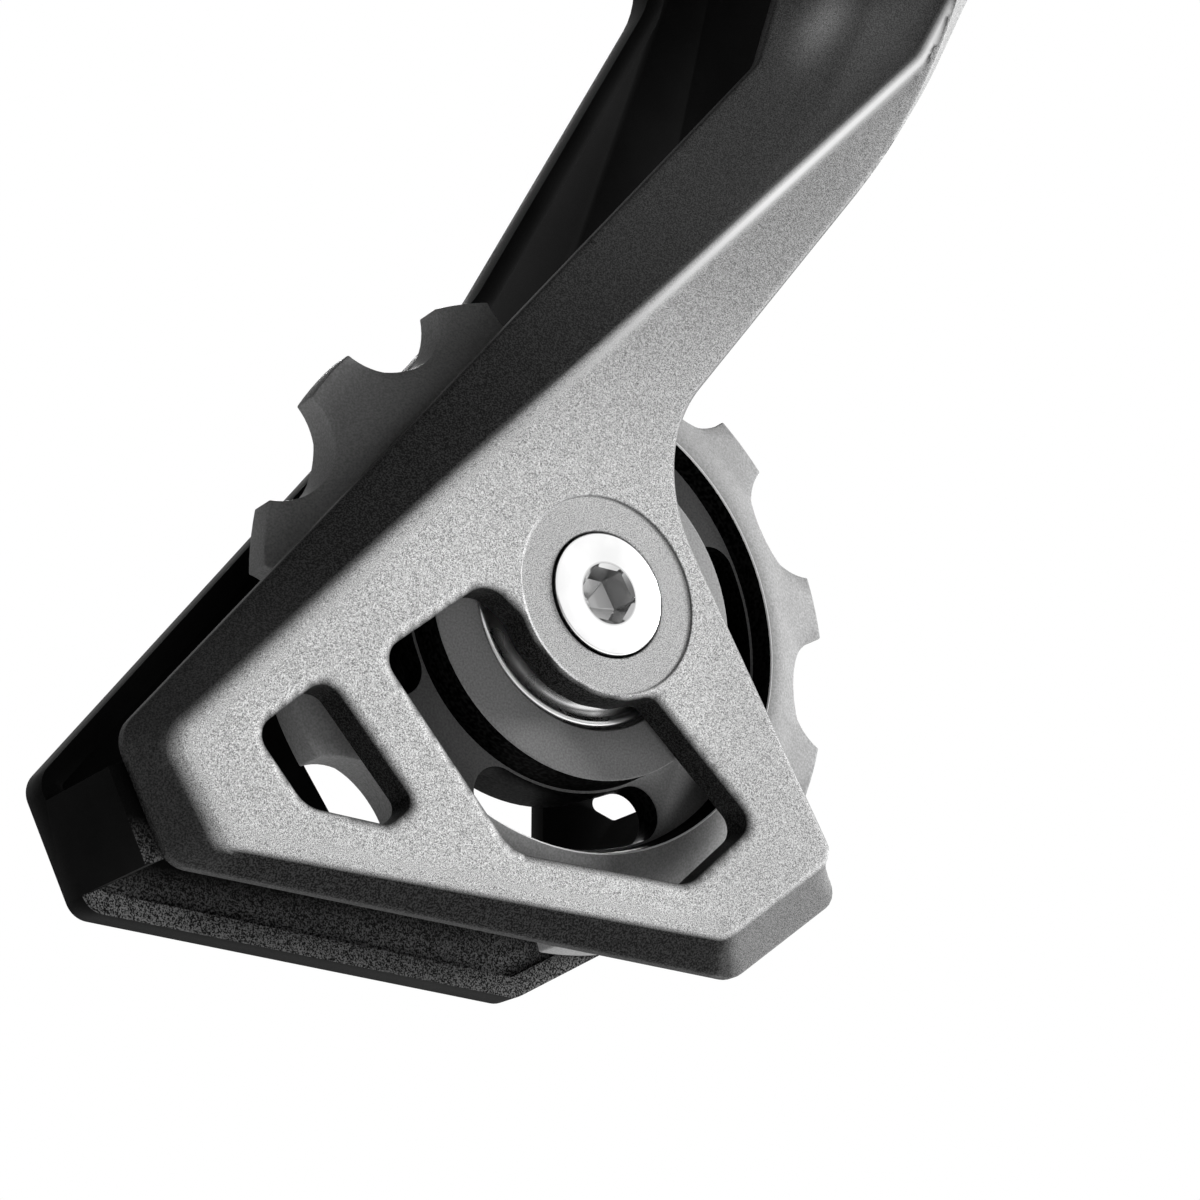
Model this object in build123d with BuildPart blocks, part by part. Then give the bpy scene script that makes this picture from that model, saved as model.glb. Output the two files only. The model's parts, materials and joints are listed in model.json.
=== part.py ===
"""Rear derailleur: slanted four-bar linkage and long two-pulley cage, in millimetres.

+X points forward, +Y inboard and +Z up. The origin is where the axis of the hanger
bolt meets the outboard face of the frame's hanger.
"""

import os
from math import cos, radians, sin

from build123d import *

# Clearances
RUNNING_GAP = 0.05
SEAT_GAP = 0.02
FACE_GAP = 0.2
OPEN_PIVOT_GAP = 0.3

# Cage: two plates either side of the pulleys
CAGE_FACE_Y = 5.0
PLATE_THICKNESS = 2.5
CAGE_WIDTH = 9.5
BEVEL_DEPTH = 1.7
HEAD_BEVEL = 1.1
RECESS_RADIUS = 7.4
RECESS_DEPTH = 0.3
WINDOW_BOSS_RADIUS = 7.8
WINDOW_CUSP_FILLET = 1.4
HEAD_INSET = 1.0
INNER_RIB_WIDTH = 1.5
INNER_DISH_DEPTH = 0.9
TAIL_WALL_THICKNESS = 1.4
STOP_PIN_RADIUS = 1.6
STOP_PIN_REACH = 6.0
STOP_PIN_ORBIT = 16.0
STOP_PIN_ANGLE = 172.0
STOP_LUG_START = 149.0
STOP_LUG_RADIUS = 18.0
STOP_LUG_ROOT = 1.0
STOP_LUG_CLEARANCE = 6.2

# Place of the cage pivot, forward of and above the tension pulley, and of the guide
# pulley, behind and above the pivot
PIVOT_FORWARD = 36.0
PIVOT_UP = 77.0
GUIDE_SETBACK = 13.5
GUIDE_RISE = 13.0
HEAD_DROP = 12.5
GUIDE_BOSS_RADIUS = 8.5

# Pulleys
TOOTH_COUNT = 11
TIP_RADIUS = 24.6
VALLEY_FLOOR_RADIUS = 21.0
VALLEY_RADIUS = 4.8
TIP_HALF_WIDTH = 1.1
TOOTH_ROOT_HALF_WIDTH = 1.4
RIM_INNER_RADIUS = 18.0
RIM_WALL = 1.4
RIM_DRAFT = 0.4
RIM_HALF_WIDTH = 3.0
RIM_CROWN = 0.25
TOOTH_ROOT_STEP = 1.0
WEB_HALF_WIDTH = 1.2
HUB_RADIUS = 13.0
HUB_GAP = 0.5
WEB_OPENINGS = 4
WEB_LAND = 0.25
WEB_OPENING_ANGLE = 45.0
WEB_OPENING_TURN = -110.0
TENSION_PHASE = -3.0
GUIDE_PHASE = 0.0

# Pulley bearings and bolts
BEARING_RADIUS = 8.0
BEARING_WIDTH = 5.0
SLEEVE_RADIUS = 4.5
CAP_RADIUS = 9.0
CAP_RECESS_GAP = 0.3
CAP_THICKNESS = 0.8
CAP_SINK = 0.4
CAP_FLOOR_GAP = 0.1
CAP_COLLAR_RADIUS = 5.2
BOLT_RADIUS = 3.0
BOLT_HEAD_RADIUS = 4.45
BOLT_HEAD_HEIGHT = 1.6
BOLT_HEAD_PROUD = 0.1
BOLT_HEAD_EDGE = 0.35
BOLT_HEAD_GAP = 0.25
BOLT_SOCKET_FLATS = 4.0
BOLT_SOCKET_DEPTH = 2.6
BOLT_END_CHAMFER = 0.4
BEARING_CHAMFER = 0.4
SMALL_CHAMFER = 0.3

# Slanted four-bar linkage
LINK_LENGTH = 38.0
LINK_LEAN = 20.5
LINK_SLANT = 8.0
LINK_REST = -26.0
PIVOT_SPACING = 15.0
BOSS_RADIUS = 4.3
BOSS_HALF_WIDTH = 6.0
EAR_RADIUS = 4.5
EAR_THICKNESS = 2.6
LINK_WALL_OFFSET = 5.2
LINK_WALL = 2.5
LINK_WALL_SETBACK = 2.0
LINK_SCALLOP_OFFSET = 8.5
LINK_SCALLOP_HEIGHT = 9.0
LINK_SCALLOP_MARGIN = 2.0
PIN_RADIUS = 2.0
PIN_HEAD_RADIUS = 3.2
PIN_HEAD_THICKNESS = 0.8
PIN_END_PROUD = 0.3
LINKAGE_Y = -7.0

# Upper knuckle and hanger bolt
HANGER_THREAD_RADIUS = 5.0
HANGER_THREAD_LENGTH = 9.5
HANGER_SHANK_RADIUS = 6.0
HANGER_HEAD_RADIUS = 8.0
HANGER_HEAD_HEIGHT = 3.8
HANGER_SOCKET_FLATS = 5.0
HANGER_SOCKET_DEPTH = 5.0
HANGER_CHAMFER = 0.8
UPPER_BARREL_RADIUS = 10.5
UPPER_BARREL_LENGTH = 14.3
UPPER_REACH = 18.0
UPPER_ARM_FOOT = [(-12.0, -8.0), (-12.0, -2.0)]
STOP_PLATE_THICKNESS = 1.5
STOP_PLATE_RADIUS = 10.0
STOP_TAB_INNER_X = -11.6
STOP_TAB_OUTER_X = -18.0
STOP_TAB_TOP_Z = -4.7
STOP_TAB_WIDTH = 3.7
STOP_TAB_THICKNESS = 1.8
STOP_TAB_ROOT_X = -4.0
STOP_TAB_ROOT_TOP_Z = 6.0
STOP_TAB_ROOT_BOTTOM_Z = -8.0
ANGLE_SCREW_X = -14.8
ANGLE_SCREW_RADIUS = 1.5
ANGLE_SCREW_HEAD_RADIUS = 2.6
ANGLE_SCREW_LENGTH = 12.0
SCREW_LUG_HEIGHT = 6.0
SCREW_LUG_STAND = 2.5
SCREW_LUG_ROOT_X = -9.0
SCREW_LUG_FLARE = 1.2
LIMIT_SCREW_RADIUS = 1.5
LIMIT_HEAD_RADIUS = 2.5
LIMIT_SCREW_LENGTH = 9.0
LIMIT_SCREW_SPACING = 6.0
LIMIT_SCREW_SETBACK = 5.8
LIMIT_SCREW_STAND = 3.6
SCREW_HEAD_HEIGHT = 1.6

# Cable inlet and anchor
INLET_Y = -11.5
INLET_Z = -10.0
INLET_BOSS_RADIUS = 4.4
INLET_BOSS_END_X = -19.5
BARREL_STEM_RADIUS = 2.5
BARREL_STEM_LENGTH = 6.0
BARREL_KNOB_RADIUS = 4.6
BARREL_KNOB_LENGTH = 11.0
BARREL_KNOB_GAP = 1.5
KNOB_FLUTES = 8
FLUTE_RADIUS = 1.0
FLUTE_STAND = 0.5
CABLE_BORE_RADIUS = 0.8
HOUSING_BORE_RADIUS = 2.55
HOUSING_BORE_DEPTH = 7.0
ANCHOR_PLACE = 24.0
ANCHOR_BOSS_RADIUS = 4.4
ANCHOR_BOSS_HEIGHT = 1.4
ANCHOR_BOLT_RADIUS = 2.5
ANCHOR_HEAD_RADIUS = 4.2
ANCHOR_HEAD_HEIGHT = 4.0
ANCHOR_SOCKET_FLATS = 4.0
ANCHOR_SOCKET_DEPTH = 3.0
ANCHOR_WASHER_RADIUS = 5.0
ANCHOR_WASHER_THICKNESS = 1.2

# Lower knuckle, cage axle and springs
LOWER_REACH = 19.0
LOWER_BARREL_RADIUS = 13.5
LOWER_BARREL_LENGTH = 23.2
LOWER_BARREL_CHAMFER = 1.0
LOWER_ARM_FOOT = [(11.0, 12.0), (11.0, 18.0)]
SEAL_GAP = 0.1
SEAL_THICKNESS = 0.7
SEAL_INNER_RADIUS = 11.6
SEAL_OUTER_RADIUS = 13.3
SPRING_ROOM_OUTER = 11.3
SPRING_ROOM_INNER = 7.3
SPRING_ROOM_DEPTH = 14.0
AXLE_RADIUS = 5.0
AXLE_FLANGE_RADIUS = 7.0
AXLE_FLANGE_THICKNESS = 1.0
AXLE_FLANGE_CHAMFER = 0.5
AXLE_END_GAP = 0.8
CLIP_THICKNESS = 1.0
CLIP_RADIUS = 6.9
CLIP_GROOVE_DEPTH = 0.8
CLIP_SIDE_GAP = 0.05
CLIP_OPENING = 7.0
CLIP_ROOM_RADIUS = 8.2
CLIP_ROOM_DEPTH = 3.2
COVER_RADIUS = 12.0
COVER_THICKNESS = 1.5
COVER_CHAMFER = 0.6
COVER_SPIGOT = 0.8
COVER_SPIGOT_BORE = 6.0
CAGE_SPRING_RADIUS = 9.3
CAGE_SPRING_WIRE = 0.8
CAGE_SPRING_TURNS = 4
CAGE_SPRING_FOOT = 1.5
CAGE_SPRING_HEAD = 2.0
LINK_SPRING_RADIUS = 2.3
LINK_SPRING_WIRE = 0.5
LINK_SPRING_TURNS = 8
LINK_SPRING_LEG = 2.5
LINK_SPRING_END_GAP = 0.1

os.makedirs("parts", exist_ok=True)


def save(piece, name):
    """Label a finished piece and write its file."""
    piece.part.label = name
    export_step(piece.part, f"parts/{name}.step")


# Stations across the cage, from outboard to inboard
outer_back_y = CAGE_FACE_Y + PLATE_THICKNESS
inner_face_y = outer_back_y + CAGE_WIDTH
inner_back_y = inner_face_y + PLATE_THICKNESS
pulley_y = outer_back_y + CAGE_WIDTH / 2

# Directions of the linkage: along the links, across them and along the pins
lean = radians(LINK_LEAN)
slant = radians(LINK_SLANT)
rest = radians(LINK_REST)
along = Vector(sin(lean), -cos(lean) * sin(slant), -cos(lean) * cos(slant))
across = Vector(0, cos(slant), -sin(slant))
pin_axis = along.cross(across)
side_direction = Vector(sin(lean), 0, -cos(lean))
link_direction = along * cos(rest) + across * sin(rest)

# Middles of the two knuckles, and the axes of the cage pivot and the tension pulley
upper_middle = side_direction * UPPER_REACH + Vector(0, LINKAGE_Y, 0)
lower_middle = upper_middle + link_direction * LINK_LENGTH
pivot = lower_middle + side_direction * LOWER_REACH
tension = Vector(pivot.X - PIVOT_FORWARD, 0, pivot.Z - PIVOT_UP)
half_spacing = PIVOT_SPACING / 2


def cage_plane(y):
    """Plane across the cage at a station y, centred on the tension pulley and facing outboard."""
    return Plane(origin=(tension.X, y, tension.Z), x_dir=(1, 0, 0), z_dir=(0, -1, 0))


def side_plane(place, y):
    """Plane at a station y through a place in the side view, facing outboard."""
    return Plane(origin=(place.X, y, place.Z), x_dir=(1, 0, 0), z_dir=(0, -1, 0))


def outline(points, radii):
    """Closed outline with a rounded corner at each point, as a sketch."""
    with BuildSketch() as shape:
        with BuildLine():
            FilletPolyline(*points, radius=radii, close=True)
        make_face()
    return shape.sketch


# Outer cage plate: the rim is the widest section and the face lies inside it,
# so the ruled sides between them are the bevels. The two meet along the neck.
# Outlines are relative to the axis of the tension pulley, forward and up.
neck = (3.7, 11.8)
arm_bend = (32.0, 49.3)
guide_forward = PIVOT_FORWARD - GUIDE_SETBACK
guide_up = PIVOT_UP + GUIDE_RISE
head_z = PIVOT_UP - HEAD_DROP
rim_points = [
    (-36.8, -16.5), (-32.6, -24.55), (12.1, -26.2), (21.8, -18.9),
    neck, arm_bend, (PIVOT_FORWARD + 3.6, head_z), (PIVOT_FORWARD - 15.5, head_z), (15.9, 49.4),
]
rim_radii = [2.2, 2.2, 2.5, 1.6, 12.0, 15.0, 0, 0, 4.0]
face_points = [
    (-33.6, -16.8), (-29.6, -23.05), (10.1, -23.7), (20.2, -16.1),
    neck, arm_bend, (PIVOT_FORWARD + 3.4, head_z), (PIVOT_FORWARD + 2.4, head_z), (31.6, 54.6),
]
face_radii = [1.6, 1.6, 2.0, 1.2, 12.0, 15.0, 0, 0, 8.0]

large_window = [
    (-18.6, -8.1), (-10.2, -1.1), (-5.0, -5.0), (1.5, -4.3), (12.9, -15.0), (7.0, -20.4), (-7.8, -20.3),
]
large_window_radii = [1.6, 2.3, 0, 0, 1.4, 2.5, 3.5]
small_window = [(-27.9, -15.2), (-22.7, -10.5), (-15.6, -18.2), (-17.6, -19.95), (-23.9, -19.7)]
small_window_radii = [1.4, 1.6, 1.0, 1.0, 2.6]


def plate_head():
    """Upper end of the outer plate, round the pivot and the guide pulley bolt."""
    with BuildPart() as head:
        with BuildSketch(cage_plane(outer_back_y)):
            with Locations((PIVOT_FORWARD, PIVOT_UP)):
                Circle(LOWER_BARREL_RADIUS - HEAD_INSET)
            with Locations((guide_forward, guide_up)):
                Circle(GUIDE_BOSS_RADIUS)
            with BuildLine():
                Line(rim_points[6], rim_points[7])
            make_hull()
        extrude(amount=PLATE_THICKNESS)
        chamfer(faces().sort_by(Axis.Y)[0].edges(), HEAD_BEVEL)
    return head.part


def bolt_seat(x, z):
    """Counterbored hole for a pulley bolt, at a place relative to the tension pulley."""
    with BuildPart() as seat:
        with BuildSketch(cage_plane(CAGE_FACE_Y)):
            with Locations((x, z)):
                Circle(BOLT_HEAD_RADIUS + BOLT_HEAD_GAP)
        extrude(amount=-(BOLT_HEAD_HEIGHT - BOLT_HEAD_PROUD))
        with BuildSketch(cage_plane(CAGE_FACE_Y)):
            with Locations((x, z)):
                Circle(BOLT_RADIUS + RUNNING_GAP)
        extrude(amount=-PLATE_THICKNESS)
    return seat.part


with BuildPart() as outer_cage_plate:
    with BuildSketch(cage_plane(CAGE_FACE_Y + BEVEL_DEPTH)):
        add(outline(rim_points, rim_radii))
    with BuildSketch(cage_plane(CAGE_FACE_Y)):
        add(outline(face_points, face_radii))
    loft(ruled=True)
    with BuildSketch(cage_plane(outer_back_y)):
        add(outline(rim_points, rim_radii))
    extrude(amount=PLATE_THICKNESS - BEVEL_DEPTH)
    add(plate_head())
    with BuildSketch(cage_plane(CAGE_FACE_Y)):
        add(outline(large_window, large_window_radii))
        Circle(WINDOW_BOSS_RADIUS, mode=Mode.SUBTRACT)
        cusps = vertices().filter_by(lambda v: abs(v.center().length - WINDOW_BOSS_RADIUS) < 0.01)
        fillet(cusps, WINDOW_CUSP_FILLET)
        add(outline(small_window, small_window_radii))
    extrude(amount=-PLATE_THICKNESS, mode=Mode.SUBTRACT)
    with BuildSketch(cage_plane(CAGE_FACE_Y)):
        Circle(RECESS_RADIUS)
    extrude(amount=-RECESS_DEPTH, mode=Mode.SUBTRACT)
    add(bolt_seat(0, 0), mode=Mode.SUBTRACT)
    add(bolt_seat(guide_forward, guide_up), mode=Mode.SUBTRACT)
    with BuildSketch(cage_plane(CAGE_FACE_Y)):
        with Locations((PIVOT_FORWARD, PIVOT_UP)):
            Circle(AXLE_RADIUS + SEAT_GAP)
            with PolarLocations(STOP_PIN_ORBIT, 1, start_angle=STOP_PIN_ANGLE):
                Circle(STOP_PIN_RADIUS + SEAT_GAP)
    extrude(amount=-PLATE_THICKNESS, mode=Mode.SUBTRACT)
save(outer_cage_plate, "outer_cage_plate")

# Inner cage plate: flat, with a raised edge round its dished inner face, and the tail
# wall that reaches across to the outer plate behind the chain
inner_points = [
    (-37.6, -17.2), (-33.4, -25.6), (0.2, -27.2), (15.0, -18.8), (20.5, -10.5), (23.0, 0.0),
    (21.5, 9.5), (16.0, 16.5), (11.5, 21.5), (29.0, 47.5), (33.0, 62.0),
    (guide_forward + 4.5, guide_up + 6.0), (guide_forward - 8.3, guide_up), (12.6, 59.0), (-4.0, 27.2),
]
inner_radii = [1.8, 1.8, 2.0, 3.0, 6.0, 8.0, 6.0, 4.0, 3.0, 12.0, 10.0, 6.0, 8.0, 10.0, 12.0]
inner_window = [(-20.4, -8.0), (-8.0, -9.0), (3.05, -9.6), (3.05, -21.4), (-11.2, -21.0)]
inner_window_radii = [1.8, 3.0, 1.5, 1.5, 2.0]
inner_port = [(6.6, -11.4), (10.3, -9.3), (13.5, -9.3), (13.2, -10.4), (9.4, -12.3)]
inner_port_radii = [0.6, 0.6, 0.4, 0.4, 0.6]
tail_wall_foot = [(-36.9, -18.6), (-33.9, -24.6)]

with BuildPart() as inner_cage_plate:
    with BuildSketch(cage_plane(inner_back_y)):
        add(outline(inner_points, inner_radii))
        with Locations((guide_forward, guide_up)):
            Circle(GUIDE_BOSS_RADIUS)
    extrude(amount=PLATE_THICKNESS)
    with BuildSketch(cage_plane(inner_face_y)):
        add(outline(inner_points, inner_radii))
        offset(amount=-INNER_RIB_WIDTH)
        Circle(WINDOW_BOSS_RADIUS, mode=Mode.SUBTRACT)
    extrude(amount=-INNER_DISH_DEPTH, mode=Mode.SUBTRACT)
    with BuildSketch(cage_plane(inner_face_y)):
        add(outline(inner_window, inner_window_radii))
        add(outline(inner_port, inner_port_radii))
    extrude(amount=-PLATE_THICKNESS, mode=Mode.SUBTRACT)
    with BuildSketch(cage_plane(inner_back_y)):
        with BuildLine():
            Line(*tail_wall_foot)
            offset(amount=TAIL_WALL_THICKNESS, side=Side.LEFT)
        make_face()
    extrude(amount=PLATE_THICKNESS + CAGE_WIDTH - FACE_GAP)
    with BuildSketch(cage_plane(inner_back_y)):
        with Locations((0, 0), (guide_forward, guide_up)):
            Circle(BOLT_RADIUS + SEAT_GAP)
    extrude(amount=PLATE_THICKNESS, mode=Mode.SUBTRACT)
save(inner_cage_plate, "inner_cage_plate")


def hex_socket(plane, flats, depth):
    """Hexagon socket, sunk from a plane that faces out of the screw's head."""
    with BuildPart() as socket:
        with BuildSketch(plane):
            RegularPolygon(radius=flats / 2, side_count=6, major_radius=False)
        extrude(amount=-depth)
    return socket.part


# Stations of the dust caps, measured from the middle of a pulley
cap_inner = CAGE_WIDTH / 2 - HUB_GAP - CAP_SINK - CAP_THICKNESS
cap_floor = cap_inner - CAP_FLOOR_GAP


def make_pulley(name, place, phase):
    """Toothed pulley: hub with cap recesses, thin pierced web, rim and conical tooth flanks."""
    hub_half_width = CAGE_WIDTH / 2 - HUB_GAP
    half_profile = [
        (BEARING_RADIUS, cap_floor), (CAP_RADIUS + CAP_RECESS_GAP, cap_floor),
        (CAP_RADIUS + CAP_RECESS_GAP, hub_half_width), (HUB_RADIUS, hub_half_width),
        (HUB_RADIUS, WEB_HALF_WIDTH), (RIM_INNER_RADIUS - RIM_DRAFT, WEB_HALF_WIDTH),
        (RIM_INNER_RADIUS, RIM_HALF_WIDTH), (RIM_INNER_RADIUS + RIM_WALL, RIM_HALF_WIDTH - RIM_CROWN),
        (VALLEY_FLOOR_RADIUS + TOOTH_ROOT_STEP, TOOTH_ROOT_HALF_WIDTH), (TIP_RADIUS, TIP_HALF_WIDTH),
    ]
    mirrored = [(r, -w) for r, w in reversed(half_profile)]
    axis_plane = side_plane(place, pulley_y)
    with BuildPart() as wheel:
        with BuildSketch(Plane(origin=axis_plane.origin, x_dir=(1, 0, 0), z_dir=(0, 0, 1))):
            with BuildLine():
                Polyline(*half_profile, *mirrored, close=True)
            make_face()
        revolve(axis=Axis(axis_plane.origin, (0, 1, 0)))
        with BuildSketch(axis_plane):
            with PolarLocations(VALLEY_FLOOR_RADIUS + VALLEY_RADIUS, TOOTH_COUNT, start_angle=phase):
                Circle(VALLEY_RADIUS)
        extrude(amount=RIM_HALF_WIDTH, both=True, mode=Mode.SUBTRACT)
        with BuildSketch(axis_plane):
            middle = (HUB_RADIUS + RIM_INNER_RADIUS - RIM_DRAFT) / 2
            width = RIM_INNER_RADIUS - RIM_DRAFT - HUB_RADIUS - 2 * WEB_LAND
            for index in range(WEB_OPENINGS):
                turn = WEB_OPENING_TURN + index * 360 / WEB_OPENINGS
                with BuildLine(mode=Mode.PRIVATE) as slot_path:
                    CenterArc((0, 0), middle, turn, WEB_OPENING_ANGLE)
                SlotArc(slot_path.line.edge(), width)
        extrude(amount=RIM_HALF_WIDTH, both=True, mode=Mode.SUBTRACT)
    save(wheel, f"{name}_pulley")


def make_bearing_set(name, place):
    """Bearing ring in the hub, sleeve on the bolt and the two dust caps outside them."""
    axis_plane = side_plane(place, pulley_y)
    with BuildPart() as bearing:
        with BuildSketch(axis_plane):
            Circle(BEARING_RADIUS - SEAT_GAP)
            Circle(SLEEVE_RADIUS + RUNNING_GAP, mode=Mode.SUBTRACT)
        extrude(amount=BEARING_WIDTH / 2, both=True)
        chamfer(edges().filter_by(GeomType.CIRCLE).group_by(SortBy.RADIUS)[-1], BEARING_CHAMFER)
    save(bearing, f"{name}_bearing")
    with BuildPart() as sleeve:
        with BuildSketch(axis_plane):
            Circle(SLEEVE_RADIUS)
            Circle(BOLT_RADIUS + RUNNING_GAP, mode=Mode.SUBTRACT)
        extrude(amount=cap_inner, both=True)
    save(sleeve, f"{name}_sleeve")
    with BuildPart() as caps:
        for end in (-1, 1):
            cap_foot = (place.X, pulley_y + end * cap_inner, place.Z)
            cap_plane = Plane(origin=cap_foot, x_dir=(1, 0, 0), z_dir=(0, end, 0))
            with BuildSketch(cap_plane):
                Circle(CAP_RADIUS)
            extrude(amount=CAP_THICKNESS)
            chamfer(faces().sort_by(Axis.Y)[-1 if end > 0 else 0].edges(), SMALL_CHAMFER)
            with BuildSketch(cap_plane):
                Circle(CAP_COLLAR_RADIUS)
            extrude(amount=CAGE_WIDTH / 2 - cap_inner)
        with BuildSketch(axis_plane):
            Circle(BOLT_RADIUS + RUNNING_GAP)
        extrude(amount=CAGE_WIDTH, both=True, mode=Mode.SUBTRACT)
    save(caps, f"{name}_bearing_caps")


def make_pulley_bolt(name, place):
    """Flat-headed bolt with a hexagon socket, through both plates and the pulley."""
    with BuildPart() as bolt:
        with BuildSketch(side_plane(place, CAGE_FACE_Y - BOLT_HEAD_PROUD)):
            Circle(BOLT_HEAD_RADIUS)
        extrude(amount=-BOLT_HEAD_HEIGHT)
        chamfer(faces().sort_by(Axis.Y)[0].edges(), BOLT_HEAD_EDGE)
        with BuildSketch(side_plane(place, CAGE_FACE_Y - BOLT_HEAD_PROUD + BOLT_HEAD_HEIGHT)):
            Circle(BOLT_RADIUS)
        extrude(amount=-(inner_back_y - CAGE_FACE_Y + BOLT_HEAD_PROUD - BOLT_HEAD_HEIGHT))
        chamfer(faces().sort_by(Axis.Y)[-1].edges(), BOLT_END_CHAMFER)
        head_top = side_plane(place, CAGE_FACE_Y - BOLT_HEAD_PROUD)
        add(hex_socket(head_top, BOLT_SOCKET_FLATS, BOLT_SOCKET_DEPTH), mode=Mode.SUBTRACT)
    save(bolt, f"{name}_bolt")


guide = tension + Vector(guide_forward, 0, guide_up)
for set_name, set_place, set_phase in (("tension", tension, TENSION_PHASE), ("guide", guide, GUIDE_PHASE)):
    make_pulley(set_name, set_place, set_phase)
    make_bearing_set(set_name, set_place)
    make_pulley_bolt(set_name, set_place)

# Cage axle, its circlip and the stop pin, all carried by the outer plate
barrel_end_y = CAGE_FACE_Y - SEAL_GAP - SEAL_THICKNESS
barrel_start_y = barrel_end_y - LOWER_BARREL_LENGTH
clip_y = barrel_start_y + CLIP_ROOM_DEPTH

with BuildPart() as cage_axle:
    with BuildSketch(side_plane(pivot, outer_back_y)):
        Circle(AXLE_RADIUS)
    extrude(amount=outer_back_y - barrel_start_y - AXLE_END_GAP)
    with BuildSketch(side_plane(pivot, CAGE_FACE_Y)):
        Circle(AXLE_FLANGE_RADIUS)
    extrude(amount=AXLE_FLANGE_THICKNESS)
    chamfer(faces().sort_by(Axis.Y)[0].edges(), AXLE_FLANGE_CHAMFER)
    with BuildSketch(side_plane(pivot, clip_y)):
        Circle(AXLE_RADIUS)
        Circle(AXLE_RADIUS - CLIP_GROOVE_DEPTH, mode=Mode.SUBTRACT)
    extrude(amount=CLIP_THICKNESS, mode=Mode.SUBTRACT)
save(cage_axle, "cage_axle")

with BuildPart() as axle_clip:
    with BuildSketch(side_plane(pivot, clip_y - CLIP_SIDE_GAP)):
        Circle(CLIP_RADIUS)
        Circle(AXLE_RADIUS - CLIP_GROOVE_DEPTH + SEAT_GAP, mode=Mode.SUBTRACT)
        with Locations((0, -CLIP_RADIUS)):
            Rectangle(CLIP_OPENING, 2 * CLIP_RADIUS, mode=Mode.SUBTRACT)
    extrude(amount=CLIP_THICKNESS - 2 * CLIP_SIDE_GAP)
save(axle_clip, "axle_clip")

with BuildPart() as cage_stop_pin:
    with BuildSketch(side_plane(pivot, outer_back_y)):
        with PolarLocations(STOP_PIN_ORBIT, 1, start_angle=STOP_PIN_ANGLE):
            Circle(STOP_PIN_RADIUS)
    extrude(amount=PLATE_THICKNESS + STOP_PIN_REACH)
    chamfer(faces().sort_by(Axis.Y)[0].edges(), SMALL_CHAMFER)
save(cage_stop_pin, "cage_stop_pin")

# Frames of the linkage: at each knuckle, X runs along the links and Z along the pins
upper_plane = Plane(origin=upper_middle, x_dir=along, z_dir=pin_axis)
lower_plane = Plane(origin=lower_middle, x_dir=along, z_dir=pin_axis)
pivot_places = [(0, -half_spacing), (0, half_spacing)]

# Lower knuckle: the barrel round the cage axle, and two pin bosses on a short arm
stop_lug_arc = STOP_PIN_ANGLE - STOP_LUG_CLEARANCE - STOP_LUG_START

with BuildPart() as lower_knuckle:
    with BuildSketch(side_plane(pivot, barrel_end_y)):
        Circle(LOWER_BARREL_RADIUS)
    extrude(amount=LOWER_BARREL_LENGTH)
    chamfer(faces().sort_by(Axis.Y)[0].edges(), LOWER_BARREL_CHAMFER)
    with BuildSketch(lower_plane):
        with Locations(*pivot_places):
            Circle(BOSS_RADIUS)
        make_hull()
    extrude(amount=BOSS_HALF_WIDTH, both=True)
    with BuildSketch(lower_plane):
        with Locations(pivot_places[1]):
            Circle(BOSS_RADIUS)
        with BuildLine():
            Line(*LOWER_ARM_FOOT)
        make_hull()
    extrude(amount=BOSS_HALF_WIDTH, both=True)
    with BuildSketch(side_plane(pivot, barrel_start_y)):
        Circle(COVER_RADIUS + FACE_GAP)
    extrude(amount=LOWER_BARREL_LENGTH, mode=Mode.SUBTRACT)
    with BuildSketch(side_plane(pivot, barrel_end_y)):
        with BuildLine():
            lug_inner = CenterArc((0, 0), LOWER_BARREL_RADIUS - STOP_LUG_ROOT, STOP_LUG_START, stop_lug_arc)
            lug_outer = CenterArc((0, 0), STOP_LUG_RADIUS, STOP_LUG_START, stop_lug_arc)
            Line(lug_inner @ 0, lug_outer @ 0)
            Line(lug_inner @ 1, lug_outer @ 1)
        make_face()
    extrude(amount=STOP_PIN_REACH)
    with BuildSketch(side_plane(pivot, barrel_end_y)):
        Circle(SPRING_ROOM_OUTER)
        Circle(SPRING_ROOM_INNER, mode=Mode.SUBTRACT)
    extrude(amount=SPRING_ROOM_DEPTH, mode=Mode.SUBTRACT)
    with BuildSketch(side_plane(pivot, barrel_end_y)):
        Circle(SPRING_ROOM_INNER + FACE_GAP)
    extrude(amount=AXLE_FLANGE_THICKNESS, mode=Mode.SUBTRACT)
    with BuildSketch(side_plane(pivot, barrel_end_y)):
        Circle(AXLE_RADIUS + RUNNING_GAP)
    extrude(amount=LOWER_BARREL_LENGTH, mode=Mode.SUBTRACT)
    with BuildSketch(side_plane(pivot, clip_y)):
        Circle(CLIP_ROOM_RADIUS)
    extrude(amount=CLIP_ROOM_DEPTH, mode=Mode.SUBTRACT)
    with BuildSketch(lower_plane):
        with Locations(pivot_places[0]):
            Circle(PIN_RADIUS + RUNNING_GAP)
        with Locations(pivot_places[1]):
            Circle(PIN_RADIUS + OPEN_PIVOT_GAP)
    extrude(amount=BOSS_HALF_WIDTH, both=True, mode=Mode.SUBTRACT)
save(lower_knuckle, "lower_knuckle")

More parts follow.
